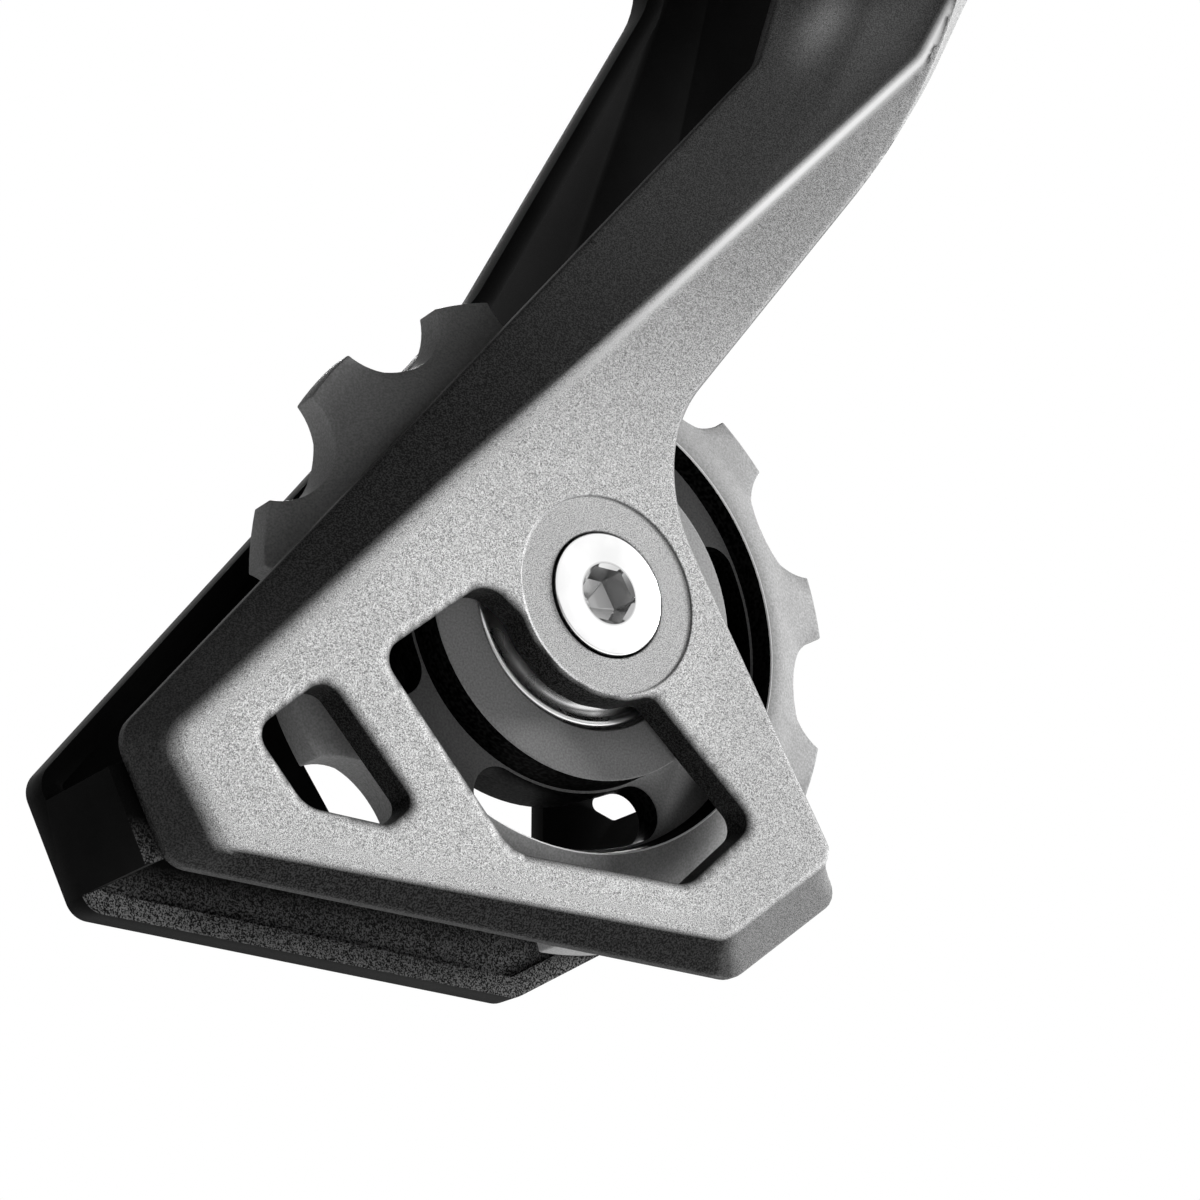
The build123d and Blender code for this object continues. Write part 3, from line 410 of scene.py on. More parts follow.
@dataclass(frozen=True)
class MouldedFinish:
    """Moulded plastic or rubber with a faint grain.

    Attributes:
        name: The material's name, which is also its slot.
        level: Level of the surface.
        roughness: Roughness in the middle of its swing.
        grain_mm: Size of one grain.
        grain_depth: Depth of the grain's bump.
        grain_strength: How much of the bump shows.
        smudge_mm: Size of the smudges.
        smudge_range: Levels of the smudges, as multiples of the surface's.
        roughness_swing: How far the roughness swings.
        specular: Strength of its reflection.
    """

    name: str
    level: float
    roughness: float
    grain_mm: float = 0.25
    grain_depth: float = 0.02
    grain_strength: float = 0.5
    smudge_mm: float = 6.0
    smudge_range: Point = (0.8, 1.2)
    roughness_swing: float = 0.05
    specular: float = 0.35

    def build(self) -> bpy.types.Material:
        """Build the material.

        Returns:
            The finished material.
        """
        desk = FinishDesk(self.name)
        grain = desk.noise(self.grain_mm, 2.0)
        smudge = desk.noise(self.smudge_mm, 3.0)
        desk.surface(
            Base_Color=desk.mix(desk.spread(smudge, 0.0, 1.0),
                                *(grey(self.level * share) for share in self.smudge_range)),
            Roughness=desk.spread(smudge, self.roughness - self.roughness_swing,
                                  self.roughness + self.roughness_swing),
            Specular_IOR_Level=self.specular)
        desk.bump(grain, self.grain_depth, self.grain_strength)
        return desk.material


# The bevel levels are where painted shade goes on cage_grey and pulley_satin; on cage_black the lighter one
# is painted light low down on the inner plate.
FINISHES = {finish.name: finish for finish in (
    GrainPaint("cage_grey", 0.49, 0.012, 0.5, grain_mm=0.07, sparkle=0.75, specular=0.06),
    GrainPaint("cage_black", 0.003, 0.06, 0.45, grain_mm=0.06, sparkle=0.6, specular=0.012,
               low_z=(-162.5, -165.5)),
    GrainPaint("pulley_satin", 0.27, 0.003, 0.5, grain_mm=0.16, sparkle=0.18, specular=0.015),
    TurnedMetal("bearing_steel", 0.85, 0.28),
    TurnedMetal("bolt_chrome", 0.9, 0.22),
    TurnedMetal("dark_steel", 0.1, 0.38),
    TurnedMetal("spring_steel", 0.35, 0.35),
    GrainPaint("knuckle_black", 0.014, 0.014, 0.4, sparkle=0.5),
    GrainPaint("link_grey", 0.2, 0.03, 0.48, grain_mm=0.09, sparkle=0.4, specular=0.2),
    MouldedFinish("cover_plastic", 0.02, 0.5),
    MouldedFinish("seal_rubber", 0.012, 0.7),
)}


# --------------------------------------------------------------------------- scene tools


def add_object(name: str, data: bpy.types.ID) -> bpy.types.Object:
    """Put a mesh, a lamp or a camera into the scene.

    Args:
        name: The object's name.
        data: What it shows.

    Returns:
        The object, at the origin.
    """
    thing = bpy.data.objects.new(name, data)
    bpy.context.scene.collection.objects.link(thing)
    return thing


@contextmanager
def editing(mesh: bpy.types.Mesh) -> Iterator[bmesh.types.BMesh]:
    """Edit a mesh in place.

    Args:
        mesh: The mesh.

    Yields:
        The editable copy, which is written back at the end.
    """
    tool = bmesh.new()
    tool.from_mesh(mesh)
    yield tool
    tool.to_mesh(mesh)
    tool.free()


def clean_mesh(mesh: bpy.types.Mesh, sharp: float) -> None:
    """Merge doubled points, turn the faces outward and shade them smooth but for sharp edges.

    Args:
        mesh: The mesh.
        sharp: Angle from which an edge stays sharp, in degrees.
    """
    with editing(mesh) as tool:
        bmesh.ops.remove_doubles(tool, verts=tool.verts, dist=MERGE_M)
        bmesh.ops.dissolve_degenerate(tool, edges=tool.edges, dist=DEGENERATE_M)
        bmesh.ops.recalc_face_normals(tool, faces=tool.faces)
    mesh.shade_smooth()
    mesh.set_sharp_from_angle(angle=math.radians(sharp))


def paint_mesh(mesh: bpy.types.Mesh, name: str, values: np.ndarray, domain: Domain = Domain.POINT) -> None:
    """Store one number for each point or face of a mesh.

    Args:
        mesh: The mesh.
        name: The attribute's name.
        values: The numbers, in the points' or faces' order.
        domain: What the numbers belong to.
    """
    layer = mesh.attributes.new(name, "FLOAT", domain.value)
    layer.data.foreach_set("value", np.ascontiguousarray(values, dtype=np.float32))


def points_of(mesh: bpy.types.Mesh) -> np.ndarray:
    """Places of a mesh's points, in millimetres."""
    flat = np.empty(len(mesh.vertices) * 3, dtype=np.float32)
    mesh.vertices.foreach_get("co", flat)
    return flat.reshape(-1, 3).astype(float) / MM


def frame_joint(name: str) -> Place:
    """Place of a joint of the record, in millimetres.

    Args:
        name: The joint's name.

    Returns:
        Its place.

    Raises:
        KeyError: The record has no such joint.
    """
    for joint in frame["record"]["behaviour"]["joints"]:
        if joint["name"] == name:
            return tuple(value / MM for value in joint["pos_m"])
    raise KeyError(name)


class PaintShop:
    """Builds each finish once and dresses CAD nodes and pieces with them."""

    def __init__(self) -> None:
        """Build every material."""
        self.materials = {slot: finish.build() for slot, finish in FINISHES.items()}
        self.slots = {row["node"]: row["material_slot"] for row in frame["record"]["subparts"]}
        bodies = frame["record"]["behaviour"]["bodies"]
        self.bodies = {node: body for body, nodes in bodies.items() for node in nodes}

    def material_of(self, node: str) -> bpy.types.Material:
        """Material of a CAD node."""
        return self.materials[self.slots[node]]

    def stand_in(self, piece: bpy.types.Object, like: str, replaces: bool = False,
                 rides: bool = True) -> bpy.types.Object:
        """Let a piece ride with a CAD node, and perhaps in its place.

        Args:
            piece: The finished piece.
            like: The node whose body and finish it takes.
            replaces: True where it stands for the node.
            rides: False where it is attached to no body.

        Returns:
            The piece.
        """
        piece.data.materials.clear()
        piece.data.materials.append(self.material_of(like))
        if rides:
            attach(piece, self.bodies[like])
        if replaces:
            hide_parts(like)
        LOG.info("%s stands with %s, %d faces", piece.name, self.bodies[like], len(piece.data.polygons))
        return piece

    def join(self, node: str, parts: list[bpy.types.Object]) -> bpy.types.Object:
        """Join parts into one piece that stands for a node.

        Args:
            node: The node, which also gives the piece its name.
            parts: The parts.

        Returns:
            The piece.
        """
        mesh = bpy.data.meshes.new(node)
        with editing(mesh) as tool:
            for part in parts:
                tool.from_mesh(part.data)
        for part in parts:
            bpy.data.objects.remove(part)
        return self.stand_in(add_object(node, mesh), node, replaces=True)

    def dress_nodes(self) -> int:
        """Give every CAD node its finish.

        Returns:
            How many nodes were dressed.
        """
        for name, node in frame["nodes"].items():
            node.data.materials.clear()
            node.data.materials.append(self.material_of(name))
        return len(frame["nodes"])


# --------------------------------------------------------------------------- outlines


STRAIGHT = 0.01


def rounded_loop(points: list[Point], radii: list[float], step: float) -> np.ndarray:
    """Closed outline with a rounded corner at each point, sampled evenly.

    Args:
        points: The corners, in millimetres.
        radii: The radius at each corner.
        step: Largest distance between samples.

    Returns:
        The samples, one row each.
    """
    corners = [np.array(point) for point in points]
    path: list[np.ndarray] = []
    for index, corner in enumerate(corners):
        before = corners[index - 1] - corner
        after = corners[(index + 1) % len(corners)] - corner
        before_way, after_way = before / np.linalg.norm(before), after / np.linalg.norm(after)
        half_turn = math.acos(max(-1.0, min(1.0, float(before_way @ after_way)))) / 2
        radius = radii[index]
        if radius <= 0 or half_turn > math.pi / 2 - STRAIGHT:
            path.append(corner)
            continue
        reach = radius / math.tan(half_turn)
        start, end = corner + before_way * reach, corner + after_way * reach
        way = before_way + after_way
        middle = corner + way / np.linalg.norm(way) * radius / math.sin(half_turn)
        first = math.atan2(*(start - middle)[::-1])
        sweep = (math.atan2(*(end - middle)[::-1]) - first + math.pi) % (2 * math.pi) - math.pi
        count = max(2, int(abs(sweep) * radius / step) + 1)
        for part in range(count + 1):
            angle = first + sweep * part / count
            path.append(middle + radius * np.array((math.cos(angle), math.sin(angle))))
    samples: list[np.ndarray] = []
    for index, point in enumerate(path):
        following = path[(index + 1) % len(path)]
        count = max(1, int(np.ceil(np.linalg.norm(following - point) / step)))
        samples += [point + (following - point) * part / count for part in range(count)]
    return np.array(samples)


def circle_loop(centre: Point, radius: float, step: float) -> np.ndarray:
    """Circle sampled evenly.

    Args:
        centre: Its centre, in millimetres.
        radius: Its radius.
        step: Largest distance between samples.

    Returns:
        The samples, one row each.
    """
    angles = np.linspace(0, 2 * math.pi, int(2 * math.pi * radius / step) + 1)[:-1]
    return np.array(centre) + radius * np.stack([np.cos(angles), np.sin(angles)], 1)


def distances(points: np.ndarray, loop: np.ndarray) -> tuple[np.ndarray, np.ndarray]:
    """Distance from each point to a closed loop, and the direction of the nearest run.

    Args:
        points: The points, one row each.
        loop: The loop's samples.

    Returns:
        The distances, and the unit direction of each nearest run.
    """
    starts, ends = loop, np.roll(loop, -1, 0)
    runs = ends - starts
    lengths = np.maximum((runs ** 2).sum(1), 1e-12)
    best = np.full(len(points), np.inf)
    way = np.zeros((len(points), 2))
    for start, run, length in zip(starts, runs, lengths):
        share = np.clip(((points - start) @ run) / length, 0, 1)
        gap = np.linalg.norm(points - start - share[:, None] * run, axis=1)
        closer = gap < best
        best[closer] = gap[closer]
        way[closer] = run / math.sqrt(length)
    return best, way


def inside(points: np.ndarray, loop: np.ndarray) -> np.ndarray:
    """Whether each point lies inside a closed loop.

    Args:
        points: The points, one row each.
        loop: The loop's samples.

    Returns:
        One truth value for each point.
    """
    found = np.zeros(len(points), bool)
    for start, end in zip(loop, np.roll(loop, -1, 0)):
        crosses = (start[1] > points[:, 1]) != (end[1] > points[:, 1])
        if end[1] != start[1]:
            place = start[0] + (points[:, 1] - start[1]) / (end[1] - start[1]) * (end[0] - start[0])
            found ^= crosses & (points[:, 0] < place)
    return found


def within_plate(points: np.ndarray, loops: list[np.ndarray]) -> np.ndarray:
    """Whether each point lies inside the first loop and outside the others.

    Args:
        points: The points, one row each.
        loops: The rim and the openings.

    Returns:
        One truth value for each point.
    """
    keep = inside(points, loops[0])
    for loop in loops[1:]:
        keep &= ~inside(points, loop)
    return keep


def clear_of(points: np.ndarray, loops: list[np.ndarray], gap: float) -> np.ndarray:
    """Drop the points that lie near a loop.

    Args:
        points: The points, one row each.
        loops: The loops.
        gap: Distance that a point has to have to each of them.

    Returns:
        The points that are left.
    """
    for loop in loops:
        points = points[distances(points, loop)[0] > gap]
    return points


def row_beside(loop: np.ndarray, offset: float, least_share: float = 0.93) -> np.ndarray:
    """Points in a row beside a loop.

    Args:
        loop: The loop's samples.
        offset: How far to its left the row lies.
        least_share: Share of the offset that a point has to keep to every run.

    Returns:
        The row's points, without those that come too near to another run.
    """
    ways = np.roll(loop, -1, 0) - np.roll(loop, 1, 0)
    ways /= np.linalg.norm(ways, axis=1)[:, None]
    row = loop + np.stack([-ways[:, 1], ways[:, 0]], 1) * offset
    return row[distances(row, loop)[0] >= abs(offset) * least_share]


def ease(value: np.ndarray, low: float, high: float) -> np.ndarray:
    """Smooth step from 0 at low to 1 at high."""
    share = np.clip((value - low) / (high - low), 0, 1)
    return share * share * (3 - 2 * share)


# --------------------------------------------------------------------------- pieces


class FaceView:
    """Corners and normals of a mesh's faces, for painting whole faces."""

    def __init__(self, mesh: bpy.types.Mesh) -> None:
        """Read the faces.

        Args:
            mesh: The mesh.
        """
        count = len(mesh.polygons)
        self.starts = np.empty(count, dtype=np.int32)
        mesh.polygons.foreach_get("loop_start", self.starts)
        corners = np.empty(len(mesh.loops), dtype=np.int32)
        mesh.loops.foreach_get("vertex_index", corners)
        self.corners = points_of(mesh)[corners]
        normals = np.empty(count * 3, dtype=np.float32)
        mesh.polygons.foreach_get("normal", normals)
        self.normals = normals.reshape(-1, 3)

    def least(self, values: np.ndarray) -> np.ndarray:
        """Smallest of each face's corner values."""
        return np.minimum.reduceat(values, self.starts)

    def most(self, values: np.ndarray) -> np.ndarray:
        """Largest of each face's corner values."""
        return np.maximum.reduceat(values, self.starts)


@dataclass(frozen=True)
class Survey:
    """What the outer plate's surface follows from, at each of its points.

    Attributes:
        at: The points, one row each.
        gaps: Distances to the rim and to each opening.
        rim_way: Direction of the nearest run of the rim.
        outside: Distance outside the ridge, negative on the flat face.
        ridge_way: Direction of the nearest run of the ridge.
        head: 0 on the arm, 1 on the plate's upper end.
    """

    at: np.ndarray
    gaps: list[np.ndarray]
    rim_way: np.ndarray
    outside: np.ndarray
    ridge_way: np.ndarray
    head: np.ndarray

    @property
    def height(self) -> np.ndarray:
        """How far up the plate each point lies."""
        return self.at[:, 1]

    @property
    def radius(self) -> np.ndarray:
        """How far each point lies from the bolt's axis."""
        return np.linalg.norm(self.at, axis=1)

    @property
    def rearward(self) -> np.ndarray:
        """How much the bevel at each point faces rearward, from 0 to 1."""
        return np.clip(-self.ridge_way[:, 1], 0, 1)


@dataclass(frozen=True)
class PlateTones:
    """Painted light and shade of the outer plate: shares from 0 to 1, and the lengths they change over.

    A pair of lengths is where a change starts and where it ends.
    """

    forward_light: float = 0.62
    forward_power: float = 1.6
    fade_least: float = 0.3
    fade_rearward: float = 0.8
    fade_start: float = 0.05
    arm_crisp: float = 0.8
    arm_crisp_at: Point = (5.0, 30.0)
    head_light: float = 0.3
    arm_light: float = 0.05
    arm_light_at: Point = (8.0, 40.0)
    foot_light: float = 0.05
    foot_light_at: Point = (-12.0, 0.0)
    # A painted soft highlight on the upper arm's dark bevel.
    highlight_streak: Point = (22.3, 55.0)
    streak_way: Point = (0.52, 0.85)
    streak_size: Point = (5.0, 1.5)
    streak_light: float = 0.24
    arm_shade: float = 0.5
    arm_shade_at: Point = (-2.0, 38.0)
    right_shade: float = 0.16
    right_shade_at: Point = (4.0, 14.0)
    rim_shade: float = 0.9
    rim_shade_end: Point = (42.0, 50.0)
    rim_lips: Point = (0.7, 2.0)
    window_lips: Point = (0.5, 1.8)
    windows: int = 2
    hole_lip: float = 0.4
    ring_width: float = 0.075
    ring_lamp: Point = (0.64, 0.77)
    ring_shade: Point = (0.2, 0.75)
    recess_shade: float = 0.14
    gleam_middle: float = 0.22
    gleam_width: float = 0.34
    gleam_at: Point = (8.0, 40.0)
    gleam_head: float = 0.6

    def bevels(self, here: Survey) -> np.ndarray:
        """Painted shade of the bevels: they fade in from the ridge, are lighter where they face forward
        towards the lamp, and carry a painted soft highlight along a streak.

        Args:
            here: The plate's points.

        Returns:
            One shade for each point.
        """
        forward = np.clip(here.ridge_way[:, 1], 0, 1)
        slope = np.clip(1.0 - self.forward_light * forward ** self.forward_power, 0, 1)
        crisp = 1 - self.arm_crisp * ease(here.height, *self.arm_crisp_at)
        width = self.fade_least + self.fade_rearward * here.rearward * crisp
        dark = slope * ease(here.outside / width, self.fade_start, 1.0) * (1 - self.head_light * here.head)
        arm = self.arm_light * ease(here.height, *self.arm_light_at)
        foot = self.foot_light * here.rearward * (1 - ease(here.height, *self.foot_light_at))
        dark *= 1 - arm - foot
        away, way = here.at - np.array(self.highlight_streak), self.streak_way
        along, across = away @ np.array(way), away @ np.array((way[1], -way[0]))
        length, breadth = self.streak_size
        return dark * (1 - self.streak_light * np.exp(-(along / length) ** 2 - (across / breadth) ** 2))

    def face(self, here: Survey) -> np.ndarray:
        """Painted shade of the flat face, darker up the arm and on its right leg, which the lamp lights more.

        Args:
            here: The plate's points.

        Returns:
            One shade for each point.
        """
        return np.maximum(self.arm_shade * ease(here.height, *self.arm_shade_at),
                          self.right_shade * ease(here.at[:, 0], *self.right_shade_at))

    def edges(self, here: Survey, lip: float) -> np.ndarray:
        """Painted shade on the rolled edges: all round the openings, and on the rim's forward side, which
        faces the lamp.

        Args:
            here: The plate's points.
            lip: Radius of the rolled edges.

        Returns:
            One shade for each point.
        """
        facing = np.clip(here.rim_way[:, 1], 0, 1) * (1 - ease(here.height, *self.rim_shade_end))
        near = 1 - ease(here.gaps[0], *(lip * size for size in self.rim_lips))
        shade = self.rim_shade * np.sqrt(facing) * near
        for index, gap in enumerate(here.gaps[1:]):
            roll = lip * (1.0 if index < self.windows else self.hole_lip)
            shade = np.maximum(shade, 1 - ease(gap, *(roll * size for size in self.window_lips)))
        return shade

    def recess(self, here: Survey, radius: float) -> np.ndarray:
        """Painted shade of the recess round the bolt, and a painted shadow line on its edge, which is darkest
        towards the lamp.

        Args:
            here: The plate's points.
            radius: Radius of the recess.

        Returns:
            One shade for each point.
        """
        outside = here.radius - radius
        lit = 0.5 + 0.5 * (here.at @ np.array(self.ring_lamp)) / np.maximum(here.radius, 0.1)
        least, more = self.ring_shade
        ring = (least + more * lit) * np.exp(-(outside / self.ring_width) ** 2)
        return np.maximum(ring, np.where(outside < 0, self.recess_shade, 0.0))

    def gleam(self, here: Survey) -> np.ndarray:
        """Painted highlight of the plate: along the upper arm's rear ridge only.

        Args:
            here: The plate's points.

        Returns:
            One number from 0 to 1 for each point.
        """
        line = np.exp(-((here.outside + self.gleam_middle) / self.gleam_width) ** 2)
        gleam = line * ease(here.height, *self.gleam_at) * (1 - here.head * self.gleam_head)
        return gleam * (here.ridge_way[:, 1] < 0)


@dataclass
class OuterCagePlate:
    """Forged outer plate: light face, wide bevels painted dark as shade that fade into it, and two windows.
    """

    origin: Place = (-11.0813, 5.0, -141.0184)
    thickness: float = 2.5
    bevel_depth: float = 1.7
    head_bevel: float = 1.1
    head_start: float = 64.5
    head_blend: Point = (-3.0, 9.0)
    head_edges: Point = (39.6, 20.5)
    arm_rear: Point = (15.9, 49.4)
    arm_radii: Point = (2.0, 4.0)
    ridge_softness: float = 0.45
    ridge_crisp: float = 0.85
    ridge_crisp_way: Point = (0.3, 0.6)
    rim_guard: float = 0.05
    lip: float = 0.2
    recess_radius: float = 7.4
    recess_depth: float = 0.12
    recess_edge: float = 0.05
    bolt_hole: float = 4.7
    axle_hole: float = 5.0
    pivot: Point = (36.0, 77.0)
    pivot_radius: float = 12.5
    guide: Point = (22.5, 90.0)
    guide_radius: float = 8.5
    sharp_angle: float = 50.0
    spacing: float = 0.5
    window_spacing: float = 0.3
    hole_spacing: float = 0.4
    recess_spacing: float = 0.2
    row_height: float = 0.87
    merge: float = 1e-5
    lip_clearance: Point = (1.25, 1.3)
    recess_clearance: float = 0.3
    ridge_clearance: float = 0.2
    recess_rows: tuple[float, ...] = (-0.2, -0.1, -0.05, 0.0, 0.05, 0.1, 0.2)
    lip_rows: tuple[float, ...] = (0.12, 0.38, 0.7, 1.0)
    ridge_rows: tuple[float, ...] = (0.0, 0.16, 0.36, 0.6, 0.9)
    tones: PlateTones = PlateTones()
    rim_points: list[Point] = field(default_factory=lambda: [
        (-36.8, -16.5), (-32.6, -24.55), (12.1, -26.2), (21.8, -18.9), (3.7, 11.8), (32.0, 49.3),
    ])
    rim_radii: list[float] = field(default_factory=lambda: [2.2, 2.2, 2.5, 1.6, 12.0, 90.0])
    face_points: list[Point] = field(default_factory=lambda: [
        (-33.6, -16.8), (-29.6, -23.05), (10.1, -23.7), (20.2, -16.1), (3.7, 11.8), (32.0, 49.3),
        (40.0, 72.0), (45.0, 78.0), (31.9, 54.4),
    ])
    face_radii: list[float] = field(default_factory=lambda: [1.6, 1.6, 2.0, 1.2, 12.0, 90.0, 0.0, 0.0, 8.0])
    large_window: list[Point] = field(default_factory=lambda: [
        (-18.6, -8.1), (-10.2, -1.1), (-7.3, -3.05), (-6.3, -4.75), (-3.9, -6.9), (-1.0, -7.85), (1.6, -7.75),
        (3.9, -6.95), (12.9, -15.0), (7.0, -20.4), (-7.8, -20.3),
    ])
    large_radii: list[float] = field(default_factory=lambda: [
        1.6, 2.3, 1.0, 4.0, 5.0, 5.0, 3.0, 1.2, 1.4, 2.5, 3.5,
    ])
    small_window: list[Point] = field(default_factory=lambda: [
        (-27.9, -15.2), (-22.7, -10.5), (-15.6, -18.2), (-17.6, -19.95), (-23.9, -19.7),
    ])
    small_radii: list[float] = field(default_factory=lambda: [1.4, 1.6, 1.0, 1.0, 2.6])

    def head_path(self) -> list[np.ndarray]:
        """Outline of the upper end, from the arm's forward edge round to its rear edge.

        Returns:
            The samples in order, in millimetres.
        """
        samples = [(edge, self.head_start) for edge in self.head_edges]
        for centre, radius in ((self.pivot, self.pivot_radius), (self.guide, self.guide_radius)):
            samples += [tuple(point) for point in circle_loop(centre, radius, self.hole_spacing)]
        ordered = sorted(set(samples))
        hull: list[Point] = []
        for direction in (ordered, ordered[::-1]):
            part: list[Point] = []
            for point in direction:
                while len(part) > 1 and self.turn(part[-2], part[-1], point) <= 0:
                    part.pop()
                part.append(point)
            hull += part[:-1]
        first = min(range(len(hull)), key=lambda i: math.dist(hull[i], samples[0]))
        return [np.array(hull[(first + i) % len(hull)]) for i in range(len(hull))]

    @staticmethod
    def turn(first: Point, second: Point, third: Point) -> float:
        """Cross product of two runs: positive where the path turns left."""
        return (second[0] - first[0]) * (third[1] - first[1]) - (second[1] - first[1]) * (third[0] - first[0])

    def rim(self) -> np.ndarray:
        """Whole outline of the plate.

        Returns:
            The samples, anticlockwise as seen from outboard.
        """
        head = self.head_path()
        forward, rear = self.arm_radii
        points = self.rim_points + [tuple(point) for point in head] + [self.arm_rear]
        radii = self.rim_radii + [forward] + [0.0] * (len(head) - 1) + [rear]
        return rounded_loop(points, radii, self.spacing)

    def survey(self, at: np.ndarray, loops: list[np.ndarray], face: np.ndarray) -> Survey:
        """Measure the plate's points.

        Args:
            at: The points, one row each.
            loops: The rim and the openings.
            face: The ridge round the flat face.

        Returns:
            The measures.
        """
        to_face, ridge_way = distances(at, face)
        found = [distances(at, loop) for loop in loops]
        outside = np.where(inside(at, face), -to_face, to_face)
        head = ease(at[:, 1], *(self.head_start + step for step in self.head_blend))
        return Survey(at, [gap for gap, _ in found], found[0][1], outside, ridge_way, head)

    def front(self, here: Survey) -> np.ndarray:
        """Depth of the front surface: flat face, bevels, rolled edges and the bolt's recess.

        Args:
            here: The plate's points.

        Returns:
            The depths in millimetres.
        """
        to_rim = here.gaps[0]
        crisp = self.ridge_crisp * ease(here.ridge_way[:, 1], *self.ridge_crisp_way)
        softness = self.ridge_softness * (1 - crisp)
        soft = (here.outside + np.sqrt(here.outside ** 2 + softness ** 2)) / 2
        arm = soft / (soft + to_rim + self.rim_guard) * self.bevel_depth
        head = np.clip(self.head_bevel - to_rim, 0, None)
        front = arm * (1 - here.head) + head * here.head
        for gap in here.gaps:
            roll = np.clip(self.lip - gap, 0, None)
            front += self.lip - np.sqrt(np.clip(self.lip ** 2 - roll ** 2, 0, None))
        edge = (self.recess_radius - self.recess_edge, self.recess_radius + self.recess_edge)
        return front + self.recess_depth * (1 - ease(here.radius, *edge))

    def shade(self, here: Survey) -> np.ndarray:
        """Painted shade of the front surface: the darkest of what its parts ask for.

        Args:
            here: The plate's points.

        Returns:
            One shade for each point.
        """
        tones = self.tones
        return np.maximum.reduce([tones.bevels(here), tones.face(here), tones.edges(here, self.lip),
                                  tones.recess(here, self.recess_radius)])

    def mesh_points(self, loops: list[np.ndarray], face: np.ndarray) -> np.ndarray:
        """Free points inside the plate: a fine field, and close rows along every edge and the ridge.

        Args:
            loops: The rim and the openings.
            face: The ridge round the flat face.

        Returns:
            The points, one row each.
        """
        low, high = loops[0].min(0), loops[0].max(0)
        rows = np.arange(low[1], high[1], self.spacing * self.row_height)
        columns = np.arange(low[0], high[0], self.spacing)
        across, up = np.meshgrid(columns, rows)
        across = across + (np.arange(len(rows)) % 2)[:, None] * self.spacing / 2
        points = np.stack([across.ravel(), up.ravel()], 1)
        points = points[within_plate(points, loops)]
        field_gap, row_gap = (self.lip * size for size in self.lip_clearance)
        points = clear_of(points, loops, field_gap)
        points = points[abs(np.linalg.norm(points, axis=1) - self.recess_radius) > self.recess_clearance]
        points = clear_of(points, [face], self.ridge_rows[-1] + self.ridge_clearance)
        extra = [circle_loop((0.0, 0.0), self.recess_radius + step, self.recess_spacing)
                 for step in self.recess_rows]
        extra += [row_beside(loop, self.lip * share) for loop in loops for share in self.lip_rows]
        for step in self.ridge_rows:
            for side in ((step, -step) if step else (0.0,)):
                row = row_beside(face, side)
                extra.append(clear_of(row[inside(row, loops[0])], loops, row_gap))
        return np.concatenate([points, *extra])

    def build(self) -> bpy.types.Object:
        """Build the plate as one closed mesh.

        Returns:
            The plate's object, with its shade as an attribute.
        """
        face = rounded_loop(self.face_points, self.face_radii, self.spacing)
        openings = [
            rounded_loop(self.large_window, self.large_radii, self.window_spacing),
            rounded_loop(self.small_window, self.small_radii, self.window_spacing),
            circle_loop((0.0, 0.0), self.bolt_hole, self.window_spacing),
            circle_loop(self.guide, self.bolt_hole, self.hole_spacing),
            circle_loop(self.pivot, self.axle_hole, self.hole_spacing),
        ]
        loops = [self.rim(), *(opening[::-1] for opening in openings)]
        runs, start = [], 0
        for loop in loops:
            runs += [(start + i, start + (i + 1) % len(loop)) for i in range(len(loop))]
            start += len(loop)
        points = [Vector(point) for point in np.concatenate([*loops, self.mesh_points(loops, face)])]
        verts, _, faces, *_ = delaunay_2d_cdt(points, runs, [], 0, self.merge)
        at = np.array([tuple(vert) for vert in verts])
        keep = within_plate(np.array([at[list(tri)].mean(0) for tri in faces]), loops)
        faces = [tuple(tri) for tri, kept in zip(faces, keep) if kept]
        here = self.survey(at, loops, face)
        return self.close(here, faces)

    def close(self, here: Survey, faces: list[tuple[int, ...]]) -> bpy.types.Object:
        """Give the front surface its walls and its back.

        Args:
            here: The plate's points, in its own plane.
            faces: The triangles of the front.

        Returns:
            The finished object.
        """
        count = len(here.at)
        place = np.array(self.origin)
        top, back = (np.stack([here.at[:, 0], depth, here.at[:, 1]], 1) + place
                     for depth in (self.front(here), np.full(count, self.thickness)))
        edges = {(tri[i], tri[(i + 1) % 3]): True for tri in faces for i in range(3)}
        walls = [(b, a, a + count, b + count) for a, b in edges if (b, a) not in edges]
        mesh = bpy.data.meshes.new("outer_plate_forging")
        mesh.from_pydata([tuple(v * MM) for v in np.concatenate([top, back])], [],
                         [*faces, *(tuple(i + count for i in reversed(tri)) for tri in faces), *walls])
        # The back is painted in full shade, and the walls fade into it.
        paint_mesh(mesh, "shade", np.concatenate([self.shade(here), np.ones(count)]))
        paint_mesh(mesh, "gleam", np.concatenate([self.tones.gleam(here), np.zeros(count)]))
        with editing(mesh) as tool:
            bmesh.ops.recalc_face_normals(tool, faces=tool.faces)
        mesh.shade_smooth()
        mesh.set_sharp_from_angle(angle=math.radians(self.sharp_angle))
        return add_object("outer_plate_forging", mesh)

    def dress(self, shop: PaintShop) -> bpy.types.Object:
        """Build the plate, finish it and put it in the CAD node's place."""
        return shop.stand_in(self.build(), "outer_cage_plate", replaces=True)


